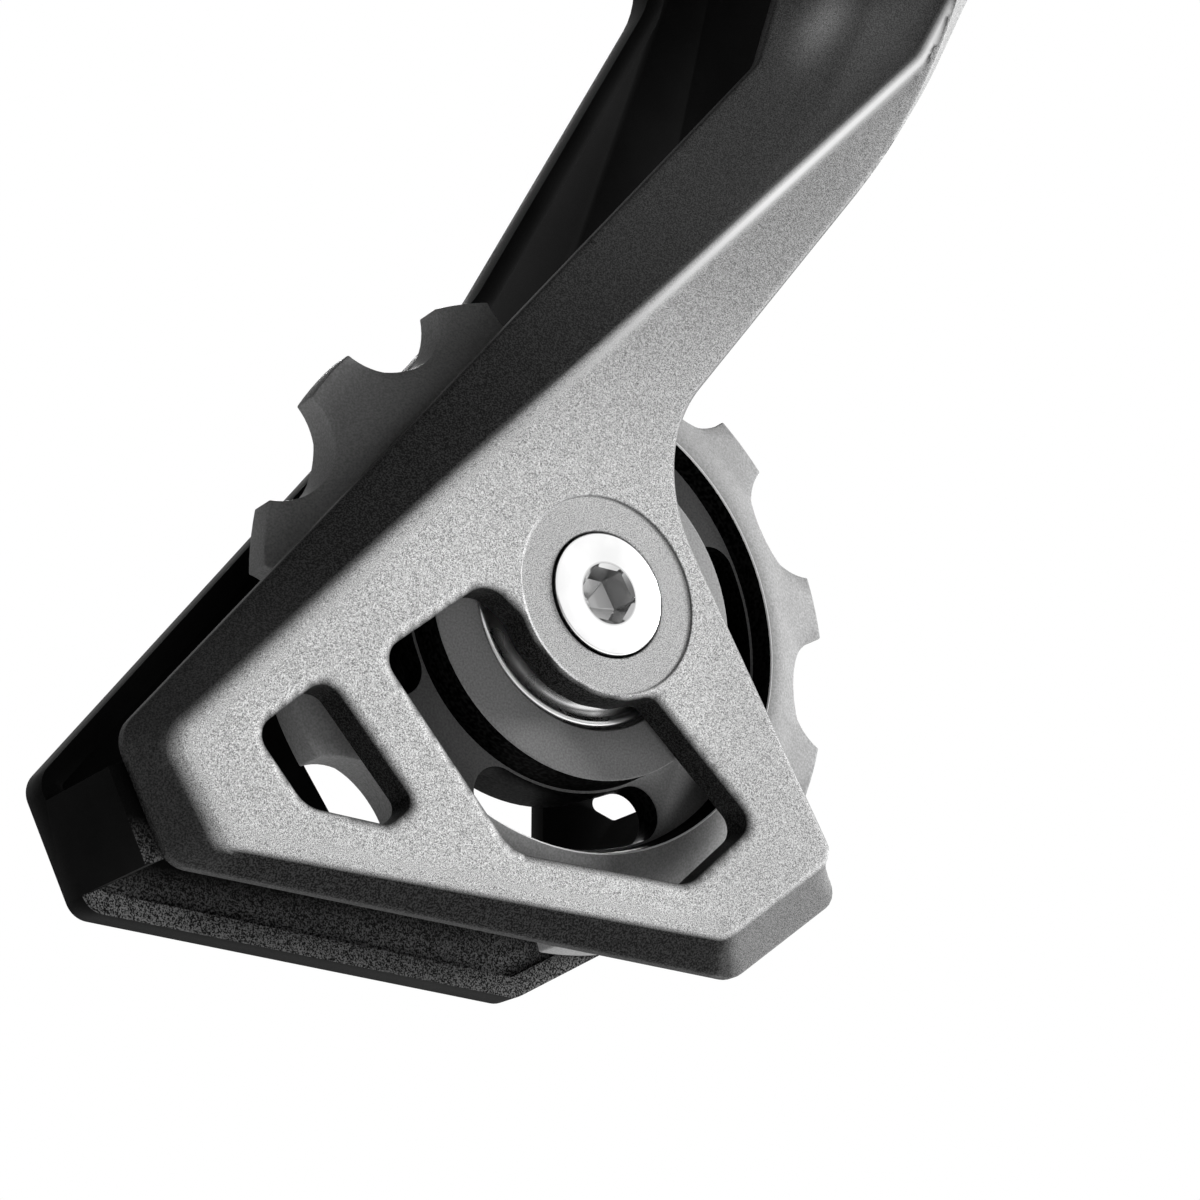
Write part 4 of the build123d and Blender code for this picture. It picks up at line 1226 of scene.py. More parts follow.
@dataclass(frozen=True)
class SoftEdges:
    """Copy of a CAD node with the small rounded edges that a real part has."""

    node: str
    width: float = 0.2
    segments: int = 2
    least_angle: float = 28.0
    sharp_angle: float = 40.0
    flat_angle: float = 0.5
    merge_m: float = 2e-6
    tone: Callable[[FaceView], np.ndarray] | None = None
    gleam: Callable[[FaceView], np.ndarray] | None = None

    def rounded(self, piece: bpy.types.Object) -> bpy.types.Mesh:
        """Round a piece's edges.

        Args:
            piece: The piece.

        Returns:
            Its mesh with rounded edges.
        """
        bevel = piece.modifiers.new("edges", "BEVEL")
        bevel.width = self.width * MM
        bevel.segments = self.segments
        bevel.limit_method = "ANGLE"
        bevel.angle_limit = math.radians(self.least_angle)
        bevel.use_clamp_overlap = True
        bevel.harden_normals = False
        evaluated = piece.evaluated_get(bpy.context.evaluated_depsgraph_get())
        mesh = bpy.data.meshes.new_from_object(evaluated)
        piece.modifiers.clear()
        return mesh

    def dress(self, shop: PaintShop, rides: bool = True) -> bpy.types.Object:
        """Build the copy, finish it and put it in the CAD node's place.

        Args:
            shop: Where the finishes come from.
            rides: False where the copy is attached to no body.

        Returns:
            The copy.
        """
        mesh = frame["nodes"][self.node].data.copy()
        mesh.name = self.node + "_finished"
        with editing(mesh) as tool:
            bmesh.ops.remove_doubles(tool, verts=tool.verts, dist=self.merge_m)
            bmesh.ops.dissolve_limit(tool, angle_limit=math.radians(self.flat_angle), verts=tool.verts,
                                     edges=tool.edges)
        piece = add_object(self.node + "_finished", mesh)
        piece.data = self.rounded(piece)
        piece.data.shade_smooth()
        piece.data.set_sharp_from_angle(angle=math.radians(self.sharp_angle))
        # Paints the painted shade and the painted highlight face by face, where the piece has them.
        for name, tone in (("shade", self.tone), ("gleam", self.gleam)):
            if tone:
                paint_mesh(piece.data, name, tone(FaceView(piece.data)), Domain.FACE)
        return shop.stand_in(piece, self.node, replaces=True, rides=rides)


class Seat:
    """Right-handed frame on an axis: a piece is turned round it, with its height along it."""

    STEEP = 0.9

    def __init__(self, origin: Place, way: Place) -> None:
        """Set up the frame.

        Args:
            origin: Where the height is zero, in millimetres.
            way: Direction of the height.
        """
        self.origin = np.array(origin, dtype=float)
        self.way = np.array(way, dtype=float) / np.linalg.norm(way)
        helper = np.array(UP) if abs(self.way[2]) < self.STEEP else np.array((1.0, 0.0, 0.0))
        self.side = np.cross(helper, self.way)
        self.side /= np.linalg.norm(self.side)
        self.up = np.cross(self.way, self.side)

    def spin(self, angle: float) -> None:
        """Turn the frame round its own axis by an angle in radians."""
        side = self.side * math.cos(angle) + self.up * math.sin(angle)
        self.up = self.up * math.cos(angle) - self.side * math.sin(angle)
        self.side = side

    def place(self, local: np.ndarray) -> np.ndarray:
        """Move local points, with their height third, into the part's frame."""
        return self.origin + local[:, :1] * self.side + local[:, 1:2] * self.up + local[:, 2:3] * self.way


def hexagon(flats: float, turn: float) -> Callable[[np.ndarray], np.ndarray]:
    """Radius of a hexagon by angle.

    Args:
        flats: Distance across its flats.
        turn: Angle of one corner, in degrees.

    Returns:
        A function that gives the radius at angles in radians.
    """
    def radius(angle: np.ndarray) -> np.ndarray:
        sixth = math.pi / 3
        within = np.mod(angle - math.radians(turn), sixth) - sixth / 2
        return flats / 2 / np.cos(within)

    return radius


@dataclass
class Turned:
    """Piece made on a lathe, with hexagonal rows where it has a socket."""

    name: str
    seat: Seat
    rows: list[Row]
    node: str
    segments: int = 144
    closed: bool = False
    sharp_angle: float = 32.0
    tone: Callable[[np.ndarray], np.ndarray] | None = None

    def build(self) -> bpy.types.Object:
        """Turn the rows round the axis.

        Returns:
            The piece, at the origin with its place in its mesh.
        """
        count, rings = self.segments, len(self.rows)
        angle = np.linspace(0, 2 * math.pi, count, endpoint=False)
        points = []
        for reach, height in self.rows:
            radius = reach(angle) if callable(reach) else np.full(count, reach)
            ring = [radius * np.cos(angle), radius * np.sin(angle), np.full(count, height)]
            points.append(np.stack(ring, 1))
        faces = [
            (row * count + i, row * count + (i + 1) % count,
             (row + 1) % rings * count + (i + 1) % count, (row + 1) % rings * count + i)
            for row in range(rings if self.closed else rings - 1) for i in range(count)
        ]
        mesh = bpy.data.meshes.new(self.name)
        mesh.from_pydata([tuple(v * MM) for v in self.seat.place(np.concatenate(points))], [], faces)
        clean_mesh(mesh, self.sharp_angle)
        # The tone is painted shade, such as a bolt's darker socket.
        if self.tone:
            paint_mesh(mesh, "shade", self.tone(points_of(mesh)))
        return add_object(self.name, mesh)

    def dress(self, shop: PaintShop) -> bpy.types.Object:
        """Build the piece, finish it and put it in its node's place."""
        return shop.stand_in(self.build(), self.node, replaces=True)


def rounded_rows(start: Point, corner: Point, end: Point, radius: float, steps: int = 5) -> list[Point]:
    """Rows round one corner of a turned profile.

    Args:
        start: A point on the run before the corner, as radius and height.
        corner: The corner.
        end: A point on the run after it.
        radius: Radius of the rounding.
        steps: How many runs it takes.

    Returns:
        The rows of the rounding.
    """
    a, c, b = np.array(start), np.array(corner), np.array(end)
    first = c + (a - c) / np.linalg.norm(a - c) * radius
    second = c + (b - c) / np.linalg.norm(b - c) * radius
    shares = np.linspace(0, 1, steps + 1)
    return [tuple((1 - t) ** 2 * first + 2 * t * (1 - t) * c + t ** 2 * second) for t in shares]


@dataclass
class SocketBolt:
    """Bolt with a hexagon socket. The shares are of the distance across the socket's flats.

    Attributes:
        node: The CAD node that it stands for.
        seat: Frame whose height is zero on top of the head.
        steps: Radius and far end of the head, then of each shank.
        flats: Distance across the socket's flats.
        depth: Depth of the socket's walls.
        edge: Rounding of the head's upper edge.
        tip: Length of the chamfer at the end.
        turn: Angle of one of the socket's corners, in degrees.
        floor_share: Width of the floor's inner hexagon.
        cone_shares: How deep the floor's middle and that hexagon lie under the walls.
        foot: Width of the floor's outer hexagon, and how high the walls' own begins.
        wall_tops: Heights of the two rows under the mouth.
        mouth_shares: Radii of the mouth and of the ring round it.
        ring_share: Radius of a ring on the head, as a share of the head's.
        dark_share: Radius inside which shade is painted into the socket.
        under_edge: Rounding under the head.
        tip_share: How much narrower the end is, as a share of the chamfer's length.
        floor_shade: Painted shade of the socket's floor.
        wall_shade: Painted shade of its walls.
    """

    node: str
    seat: Seat
    steps: list[Point]
    flats: float
    depth: float
    edge: float = 0.35
    tip: float = 0.5
    turn: float = 0.0
    floor_share: float = 0.55
    cone_shares: Point = (0.18, 0.09)
    foot: Point = (0.985, 0.06)
    wall_tops: Point = (-0.3, -0.22)
    mouth_shares: Point = (0.583, 0.63)
    ring_share: float = 0.75
    dark_share: float = 0.6
    under_edge: float = 0.12
    tip_share: float = 0.8
    floor_shade: float = 0.5
    wall_shade: float = 0.45

    def socket_rows(self) -> list[Row]:
        """Rows of the hexagon socket, from its conical floor up past its mouth."""
        deep, shallow = self.cone_shares
        foot_share, foot_height = self.foot
        wall, floor = hexagon(self.flats, self.turn), -self.depth
        return [(0.0, floor - self.flats * deep),
                (hexagon(self.flats * self.floor_share, self.turn), floor - self.flats * shallow),
                (hexagon(self.flats * foot_share, self.turn), floor), (wall, floor + foot_height),
                *((wall, top) for top in self.wall_tops),
                *((self.flats * share, 0.0) for share in self.mouth_shares)]

    def rows(self) -> list[Row]:
        """Rows from the socket's floor over the head to the tip."""
        head, head_end = self.steps[0]
        rows = self.socket_rows() + [(head * self.ring_share, 0.0)]
        rows += rounded_rows((0.0, 0.0), (head, 0.0), (head, -head_end), self.edge)
        rows += rounded_rows((head, 0.0), (head, -head_end), (0.0, -head_end), self.under_edge, 2)
        start = head_end
        for radius, end in self.steps[1:]:
            last = end == self.steps[-1][1]
            rows += [(radius, -start), (radius, -end + (self.tip if last else 0.0))]
            start = end
        return rows + [(radius - self.tip * self.tip_share, -end), (0.0, -end)]

    def tone(self, at: np.ndarray) -> np.ndarray:
        """Painted shade of the bolt, darker in its socket.

        Args:
            at: The bolt's points, one row each.

        Returns:
            One shade for each point.
        """
        away = at - self.seat.origin
        height = away @ self.seat.way
        radius = np.linalg.norm(away - height[:, None] * self.seat.way, axis=1)
        inner = (radius < self.flats * self.dark_share) & (height < 0.01)
        return np.where(inner, np.where(height < -self.depth + 0.1, self.floor_shade, self.wall_shade), 0.0)

    def dress(self, shop: PaintShop) -> bpy.types.Object:
        """Build the bolt, finish it and put it in its node's place."""
        return Turned(self.node, self.seat, self.rows(), self.node, tone=self.tone).dress(shop)


class Pattern:
    """Geometry Nodes tree that repeats a small mesh in a ring or in a row."""

    INPUTS = {"Piece": "NodeSocketObject", "Count": "NodeSocketInt", "Reach": "NodeSocketFloat",
              "Finish": "NodeSocketMaterial"}
    SHARP_ANGLE = 40.0

    def __init__(self, name: str, layout: Layout) -> None:
        """Lay out the nodes.

        Args:
            name: The node group's name.
            layout: How the copies stand.
        """
        self.tree = bpy.data.node_groups.new(name, "GeometryNodeTree")
        sockets = self.tree.interface
        sockets.new_socket("Geometry", in_out="OUTPUT", socket_type="NodeSocketGeometry")
        self.inputs = {label: sockets.new_socket(label, in_out="INPUT", socket_type=kind).identifier
                       for label, kind in self.INPUTS.items()}
        make, link = self.tree.nodes.new, self.tree.links.new
        given = make("NodeGroupInput")
        source = make("GeometryNodeObjectInfo")
        instances = make("GeometryNodeInstanceOnPoints")
        realized = make("GeometryNodeRealizeInstances")
        painted = make("GeometryNodeSetMaterial")
        link(given.outputs["Piece"], source.inputs["Object"])
        points = self.ring(given, instances) if layout is Layout.RING else self.row(given)
        link(points.outputs["Mesh"], instances.inputs["Points"])
        link(source.outputs["Geometry"], instances.inputs["Instance"])
        link(instances.outputs[0], realized.inputs[0])
        link(realized.outputs[0], painted.inputs["Geometry"])
        link(given.outputs["Finish"], painted.inputs["Material"])
        link(painted.outputs[0], make("NodeGroupOutput").inputs[0])

    def ring(self, given: bpy.types.Node, instances: bpy.types.Node) -> bpy.types.Node:
        """Lay out a ring of points, on which each copy faces away from the middle.

        Args:
            given: The tree's inputs.
            instances: The node that puts the copies on the points.

        Returns:
            The node that makes the points.
        """
        make, link = self.tree.nodes.new, self.tree.links.new
        points = make("GeometryNodeMeshCircle")
        link(given.outputs["Count"], points.inputs["Vertices"])
        link(given.outputs["Reach"], points.inputs["Radius"])
        turn = make("FunctionNodeAlignEulerToVector")
        turn.axis = "X"
        turn.pivot_axis = "Z"
        link(make("GeometryNodeInputPosition").outputs[0], turn.inputs["Vector"])
        link(turn.outputs[0], instances.inputs["Rotation"])
        return points

    def row(self, given: bpy.types.Node) -> bpy.types.Node:
        """Lay out a row of points.

        Args:
            given: The tree's inputs.

        Returns:
            The node that makes the points.
        """
        make, link = self.tree.nodes.new, self.tree.links.new
        points = make("GeometryNodeMeshLine")
        points.mode = "OFFSET"
        offset = make("ShaderNodeCombineXYZ")
        link(given.outputs["Reach"], offset.inputs["Z"])
        link(given.outputs["Count"], points.inputs["Count"])
        link(offset.outputs[0], points.inputs["Offset"])
        return points

    def dress(self, shop: PaintShop, name: str, node: str, piece: bpy.types.Object, count: int,
              reach_mm: float, seat: Seat) -> bpy.types.Object:
        """Repeat a piece, keep the result as a plain mesh and let it ride with a node.

        Args:
            shop: Where the finishes come from.
            name: The result's name.
            node: The CAD node that it rides with.
            piece: What is repeated; it is removed afterwards.
            count: How many copies.
            reach_mm: Radius of the ring, or spacing of the row.
            seat: Frame that the pattern is moved to.

        Returns:
            The result, with its place in its mesh.
        """
        holder = add_object(name, bpy.data.meshes.new(name))
        modifier = holder.modifiers.new("pattern", "NODES")
        modifier.node_group = self.tree
        values = {"Piece": piece, "Count": count, "Reach": reach_mm * MM, "Finish": shop.material_of(node)}
        for label, value in values.items():
            modifier[self.inputs[label]] = value
        holder.update_tag()
        evaluated = holder.evaluated_get(bpy.context.evaluated_depsgraph_get())
        baked = bpy.data.meshes.new_from_object(evaluated)
        holder.modifiers.clear()
        holder.data = baked
        moved = seat.place(points_of(baked)) * MM
        baked.vertices.foreach_set("co", np.ascontiguousarray(moved, dtype=np.float32).ravel())
        baked.update()
        bpy.data.objects.remove(piece)
        clean_mesh(baked, self.SHARP_ANGLE)
        return shop.stand_in(holder, node)


# --------------------------------------------------------------------------- sub-assemblies


@dataclass
class PulleySet:
    """Pulley with its dust caps and its bolt."""

    name: str
    axis: Place
    soft: float = 0.14
    hub_radius: float = 13.0
    web_edge: float = 17.7
    rim_edge: float = 18.1
    web_face: float = 1.3
    rim_face: float = 2.7
    hub_face: float = 4.05
    slack: float = 0.2
    web_shade: float = 0.48
    hub_shade: float = 0.16
    gleam_width: float = 0.15
    cap_radii: Place = (3.05, 5.2, 9.0)
    cap_heights: Place = (3.05, 3.85, 4.75)
    cap_edges: Place = (0.15, 0.42, 0.2)
    cap_chamfer: float = 0.2
    cap_ring: tuple[Point, ...] = (
        (8.5, 0.0), (8.4, -0.06), (8.25, -0.3), (8.1, -0.34), (7.6, -0.2), (7.0, 0.05), (6.5, 0.3),
        (6.1, 0.48), (5.8, 0.52),
    )
    bolt_y: float = 4.9
    bolt_steps: tuple[Point, ...] = ((4.58, 1.6), (3.0, 14.6))
    bolt_flats: float = 3.9
    bolt_socket: float = 2.6
    bolt_edge: float = 0.16

    def reach(self, view: FaceView) -> tuple[np.ndarray, np.ndarray]:
        """Distance of each face's corners from the pulley's axis, and from its middle plane.

        Args:
            view: The pulley's faces.

        Returns:
            The radii, and the distances along the axis.
        """
        radius = np.hypot(view.corners[:, 0] - self.axis[0], view.corners[:, 2] - self.axis[2])
        return radius, abs(view.corners[:, 1] - self.axis[1])

    def tone(self, view: FaceView) -> np.ndarray:
        """Painted shade of the pulley's faces: grey hub face and web, black hollows where the shade falls,
        and light teeth.

        Args:
            view: The pulley's faces.

        Returns:
            One shade for each face.
        """
        radius, across = self.reach(view)
        near, far, low, high = view.least(radius), view.most(radius), view.least(across), view.most(across)
        flat = abs(view.normals[:, 1]) > 0.9
        web = (near > self.hub_radius - self.slack) & (far < self.web_edge) & (high < self.web_face)
        hub = (far < self.hub_radius + self.slack) & (low > self.hub_face - 0.05)
        shade = np.where((far < self.rim_edge) & (low < self.rim_face), 1.0, 0.0)
        shade[flat & web] = self.web_shade
        shade[flat & hub] = self.hub_shade
        return shade

    def gleam(self, view: FaceView) -> np.ndarray:
        """Painted highlight on the pulley's faces: a bright line along the rim's inner edge.

        Args:
            view: The pulley's faces.

        Returns:
            One number from 0 to 1 for each face.
        """
        radius, across = self.reach(view)
        edge = (view.least(radius) > self.web_edge) & (view.most(radius) < self.rim_edge + self.gleam_width)
        return np.where(edge & (view.least(across) > self.rim_face), 1.0, 0.0)

    def cap_rows(self) -> list[Row]:
        """Rows of one dust cap: bore, flat inner face, rolled edge, pressed ring and collar."""
        bore, collar_radius, edge = self.cap_radii
        inner, outer, collar = self.cap_heights
        ring = [(radius, outer + height) for radius, height in self.cap_ring]
        small, rolled, mouth = self.cap_edges
        dip = ring[-1]
        rows = [(bore, inner), (edge - self.cap_chamfer, inner)]
        rows += rounded_rows((bore, inner), (edge, inner), (edge, outer), small, 3)
        rows += rounded_rows((edge, inner), (edge, outer), (bore, outer), rolled, 7) + ring
        rows += rounded_rows(dip, (collar_radius, dip[1]), (collar_radius, collar), small, 3)
        rows += rounded_rows((collar_radius, outer), (collar_radius, collar), (bore, collar), mouth, 3)
        return rows + [(bore, collar)]

    def dress(self, shop: PaintShop) -> None:
        """Build every piece of the set."""
        SoftEdges(f"{self.name}_pulley", self.soft, tone=self.tone, gleam=self.gleam).dress(shop)
        node = f"{self.name}_bearing_caps"
        seats = {side.name.lower(): Seat(self.axis, (0.0, side.value, 0.0)) for side in Side}
        caps = [Turned(f"{node}_{name}", seat, self.cap_rows(), node, closed=True)
                for name, seat in seats.items()]
        shop.join(node, [cap.build() for cap in caps])
        seat = Seat((self.axis[0], self.bolt_y, self.axis[2]), (0.0, Side.OUTBOARD.value, 0.0))
        SocketBolt(f"{self.name}_bolt", seat, list(self.bolt_steps), self.bolt_flats, self.bolt_socket,
                   self.bolt_edge).dress(shop)


@dataclass
class HangerBolt:
    """Hanger bolt with its thread, a row of rings."""

    head_top: float = -20.0
    head_step: Point = (8.0, 3.8)
    collar_step: Point = (6.0, 20.0)
    length: float = 29.5
    flats: float = 5.0
    socket: float = 5.0
    edge: float = 0.8
    tip: float = 1.2
    thread_radius: float = 4.97
    root_radius: float = 4.45
    sunk: float = 0.1
    pitch: float = 1.0
    crest: Point = (0.42, 0.56)
    ring_end: float = 0.96
    turns: int = 8
    thread_foot: float = 0.35
    segments: int = 96

    def thread_piece(self) -> bpy.types.Object:
        """One ring of the thread, round Z."""
        root = self.root_radius - self.sunk
        rows = [(root, 0.0), *((self.thread_radius, self.pitch * share) for share in self.crest),
                (root, self.pitch * self.ring_end)]
        return Turned("thread_ring", Seat(ORIGIN, UP), rows, "hanger_bolt", self.segments).build()

    def dress(self, shop: PaintShop) -> None:
        """Build the bolt and repeat its thread ring."""
        seat = Seat((0.0, self.head_top, 0.0), (0.0, Side.OUTBOARD.value, 0.0))
        steps = [self.head_step, self.collar_step, (self.root_radius, self.length)]
        SocketBolt("hanger_bolt", seat, steps, self.flats, self.socket, self.edge, self.tip).dress(shop)
        foot = Seat((0.0, self.thread_foot, 0.0), (0.0, Side.INBOARD.value, 0.0))
        Pattern("thread_rows", Layout.ROW).dress(
            shop, "hanger_bolt_thread", "hanger_bolt", self.thread_piece(), self.turns, self.pitch, foot)


@dataclass
class Adjuster:
    """Barrel adjuster: fluted knob with fine ribs between its flutes, on a threaded stem."""

    foot: Place = (-21.0, -11.5, -10.0)
    way: Place = (-1.0, 0.0, 0.0)
    knob_radius: float = 4.6
    knob_length: float = 11.0
    knob_edge: float = 0.35
    flutes: int = 8
    flute_radius: float = 1.0
    flute_stand: float = 0.5
    stem_radius: float = 2.5
    stem_length: float = 7.5
    stem_edge: float = 0.4
    bore_radius: float = 2.55
    bore_depth: float = 7.0
    bore_edge: float = 0.2
    cable_radius: float = 0.8
    rib_ends: tuple[Point, ...] = ((0.0, 1.0), (0.16, 1.08), (0.2, 1.3))
    rib_sunk: float = 0.1
    knob_segments: int = 288
    rib_segments: int = 12

    def fluted(self, radius: float) -> Callable[[np.ndarray], np.ndarray]:
        """Radius of the fluted knob by angle.

        Args:
            radius: The knob's radius between its flutes.

        Returns:
            A function that gives the radius at angles in radians.
        """
        def reach(angle: np.ndarray) -> np.ndarray:
            centre = self.knob_radius + self.flute_stand
            step = 2 * math.pi / self.flutes
            off = np.mod(angle + step / 2, step) - step / 2
            under = self.flute_radius ** 2 - (centre * np.sin(off)) ** 2
            cut = np.where(under > 0, centre * np.cos(off) - np.sqrt(np.maximum(under, 0)), radius)
            return np.minimum(cut, radius)

        return reach

    def dress(self, shop: PaintShop) -> None:
        """Build the adjuster and repeat its ribs."""
        node, end, edge = "barrel_adjuster", self.knob_length, self.knob_edge
        full, eased = self.fluted(self.knob_radius), self.fluted(self.knob_radius - edge)
        stem, foot, bore = self.stem_radius, -self.stem_length, self.bore_radius
        rows = [(self.cable_radius, foot), (stem - self.stem_edge, foot), (stem, foot + self.stem_edge),
                (stem, 0.0), (eased, 0.0), (full, edge), (full, end - edge), (eased, end),
                (bore + self.bore_edge, end), (bore, end - self.bore_edge), (bore, end - self.bore_depth),
                (self.cable_radius, end - self.bore_depth)]
        Turned(node, Seat(self.foot, self.way), rows, node, self.knob_segments, closed=True).dress(shop)
        ends = [*self.rib_ends, *((radius, end - height) for radius, height in reversed(self.rib_ends))]
        rib = Turned("rib", Seat(ORIGIN, UP), ends, node, self.rib_segments).build()
        between = Seat(self.foot, self.way)
        between.spin(math.pi / self.flutes)
        Pattern("rib_ring", Layout.RING).dress(
            shop, "barrel_adjuster_ribs", node, rib, self.flutes, self.knob_radius - self.rib_sunk, between)


@dataclass(frozen=True)
class CrossScrew:
    """Small screw with a cross recess, its height zero under its head."""

    node: str
    seat: Seat
    head: float
    length: float
    height: float = 1.6
    shank: float = 1.5
    pitch: float = 0.5
    thread_start: float = 0.6
    plain: float = 1.5
    crest: float = 0.02
    root: float = 0.26
    root_at: float = 0.45
    crest_end: float = 0.9
    tip: Point = (0.3, 0.6)
    recess: Point = (0.62, 0.42)
    recess_floor: float = 1.1
    recess_rows: tuple[Point, ...] = ((0.7, 0.95), (1.0, 0.05))
    mouth: Point = (1.06, 0.6)
    rim_share: float = 0.82
    edge: float = 0.4
    under_edge: float = 0.12
    segments: int = 96

    def cross(self, angle: np.ndarray) -> np.ndarray:
        """Radius of the cross recess at angles in radians."""
        share, half_width = self.recess
        off = abs(np.mod(angle + math.pi / 4, math.pi / 2) - math.pi / 4)
        return np.minimum(self.head * share / np.cos(off), half_width / np.maximum(np.sin(off), 0.05))

    def turned(self) -> Turned:
        """The screw as a turned piece."""
        head, shank, top, rim = self.head, self.shank, self.height, self.head * self.rim_share
        wider, least = self.mouth
        inset, point = self.tip
        rows: list[Row] = [(0.0, top - self.recess_floor)]
        rows += [(lambda angle, share=share: self.cross(angle) * share, top - down)
                 for share, down in self.recess_rows]
        rows += [(lambda angle: np.maximum(self.cross(angle) * wider, least), top), (rim, top)]
        rows += rounded_rows((rim, top), (head, top), (head, 0.0), self.edge)
        rows += [(head, self.under_edge), (head - self.under_edge, 0.0), (shank, 0.0)]
        for turn in range(int((self.length - self.plain) / self.pitch)):
            low = -self.thread_start - turn * self.pitch
            rows += [(shank - self.crest, low), (shank - self.root, low - self.pitch * self.root_at),
                     (shank - self.crest, low - self.pitch * self.crest_end)]
        rows += [(shank - inset, inset - self.length), (shank - point, -self.length), (0.0, -self.length)]
        return Turned(self.node, self.seat, rows, self.node, self.segments)


@dataclass
class Linkage:
    """Links, knuckles, pins, cable anchor, return spring and small screws."""

    lean: float = 20.5
    slant: float = 8.0
    rest: float = -26.0
    link_length: float = 38.0
    half_spacing: float = 7.5
    reach: float = 18.0
    linkage_y: float = -7.0
    pin_radii: Place = (1.7, 2.0, 3.2)
    pin_heights: Place = (-9.1, 8.8, 9.6)
    pin_dimple: tuple[Point, ...] = ((1.4, 9.58), (1.2, 9.35), (0.0, 9.3))
    pin_edge: float = 0.5
    pin_segments: int = 96
    anchor_along: float = 24.0
    anchor_out: float = 14.3
    anchor_steps: tuple[Point, ...] = ((4.2, 4.0), (2.5, 9.1))
    anchor_flats: float = 4.0
    anchor_socket: float = 3.0
    anchor_edge: float = 0.5
    limit_screws_at: Point = (5.8, 3.6)
    limit_screws_apart: float = 3.0
    limit_screw: Point = (2.5, 9.0)
    angle_screw: Point = (2.6, 12.0)
    angle_screw_foot: Place = (-14.8, -3.55, 7.35)
    cover_y: float = -19.0
    cover_radius: float = 12.0
    cover_height: float = 1.5
    cover_edge: float = 0.6
    cover_back: tuple[Point, ...] = ((0.0, 0.0), (6.0, 0.0), (6.0, -0.8), (8.18, -0.8), (8.18, 0.0))
    cover_front: tuple[Point, ...] = (
        (9.7, 1.5), (9.55, 1.3), (9.2, 1.3), (9.05, 1.5), (5.2, 1.5), (4.4, 1.38), (0.0, 1.3),
    )
    spring_soft: float = 0.03
    spring_place: float = 0.77
    blend_length: float = 3000.0
    soft: dict[str, float] = field(default_factory=lambda: {
        "upper_knuckle": 0.45, "lower_knuckle": 0.45, "outer_link": 0.3, "inner_link": 0.3,
        "stop_plate": 0.2, "inner_cage_plate": 0.22, "cage_seal": 0.15, "cable_clamp_washer": 0.2,
        "cage_stop_pin": 0.1, "cage_axle": 0.15, "axle_clip": 0.1,
    })

    def __post_init__(self) -> None:
        """Work out the linkage's directions and the upper knuckle's middle."""
        lean, slant, rest = (math.radians(angle) for angle in (self.lean, self.slant, self.rest))
        self.along = np.array((math.sin(lean), -math.cos(lean) * math.sin(slant),
                               -math.cos(lean) * math.cos(slant)))
        self.across = np.array((0.0, math.cos(slant), -math.sin(slant)))
        self.pins = np.cross(self.along, self.across)
        self.link = self.along * math.cos(rest) + self.across * math.sin(rest)
        self.square = np.cross(self.pins, self.link)
        self.middle = np.array((math.sin(lean), 0.0, -math.cos(lean))) * self.reach
        self.middle[1] += self.linkage_y

    @staticmethod
    def plate_tone(view: FaceView) -> np.ndarray:
        """Painted light on the inner plate's faces: 1 on the outboard side, which is painted greyer low down.
        """
        return np.where(view.normals[:, 1] < -0.3, 1.0, 0.0)

    def pin_place(self, side: Side, length: float) -> np.ndarray:
        """Place of a link pin.

        Args:
            side: OUTBOARD for the outer link, INBOARD for the inner one.
            length: How far down the link the pin sits.

        Returns:
            The place, in millimetres.
        """
        return self.middle + self.across * (self.half_spacing * side.value) + self.link * length

    def dress_pins(self, shop: PaintShop) -> None:
        """Turn the four link pins, each with a flat head and a dimple."""
        tip, shank, head = self.pin_radii
        foot, under, top = self.pin_heights
        rows = [(0.0, foot), (tip, foot), (shank, foot + shank - tip), (shank, under), (head, under)]
        rows += rounded_rows((head, under), (head, top), (0.0, top), self.pin_edge) + list(self.pin_dimple)
        for link, side in (("outer_link", Side.OUTBOARD), ("inner_link", Side.INBOARD)):
            for end, length in (("upper", 0.0), ("lower", self.link_length)):
                node = f"{link}_{end}_pin"
                seat = Seat(tuple(self.pin_place(side, length)), tuple(self.pins))
                Turned(node, seat, rows, node, self.pin_segments).dress(shop)

    def dress_anchor(self, shop: PaintShop) -> None:
        """Build the cable anchor bolt on the outer link."""
        top = self.pin_place(Side.OUTBOARD, self.anchor_along) - self.square * self.anchor_out
        SocketBolt("cable_anchor_bolt", Seat(tuple(top), tuple(-self.square)), list(self.anchor_steps),
                   self.anchor_flats, self.anchor_socket, self.anchor_edge).dress(shop)

    def dress_screws(self, shop: PaintShop) -> None:
        """Build the two limit screws and the hanger angle screw."""
        down, out = self.limit_screws_at
        plane = self.middle - self.along * down - self.across * (self.half_spacing + out)
        seats = [Seat(tuple(plane + self.pins * apart), tuple(-self.across))
                 for apart in (-self.limit_screws_apart, self.limit_screws_apart)]
        screws = [CrossScrew("limit_screws", seat, *self.limit_screw) for seat in seats]
        shop.join("limit_screws", [screw.turned().build() for screw in screws])
        foot = Seat(self.angle_screw_foot, UP)
        CrossScrew("hanger_angle_screw", foot, *self.angle_screw).turned().dress(shop)

    def dress_spring(self, shop: PaintShop) -> None:
        """Copy the return spring with rounded edges and bake its place into its mesh; it rides with no body.

        A real one points at the inner link's lower pin, which takes 0.87 of the outer link's turn over the
        whole shift.
        """
        spring = SoftEdges("linkage_return_spring", self.spring_soft).dress(shop, rides=False)
        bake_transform(spring)

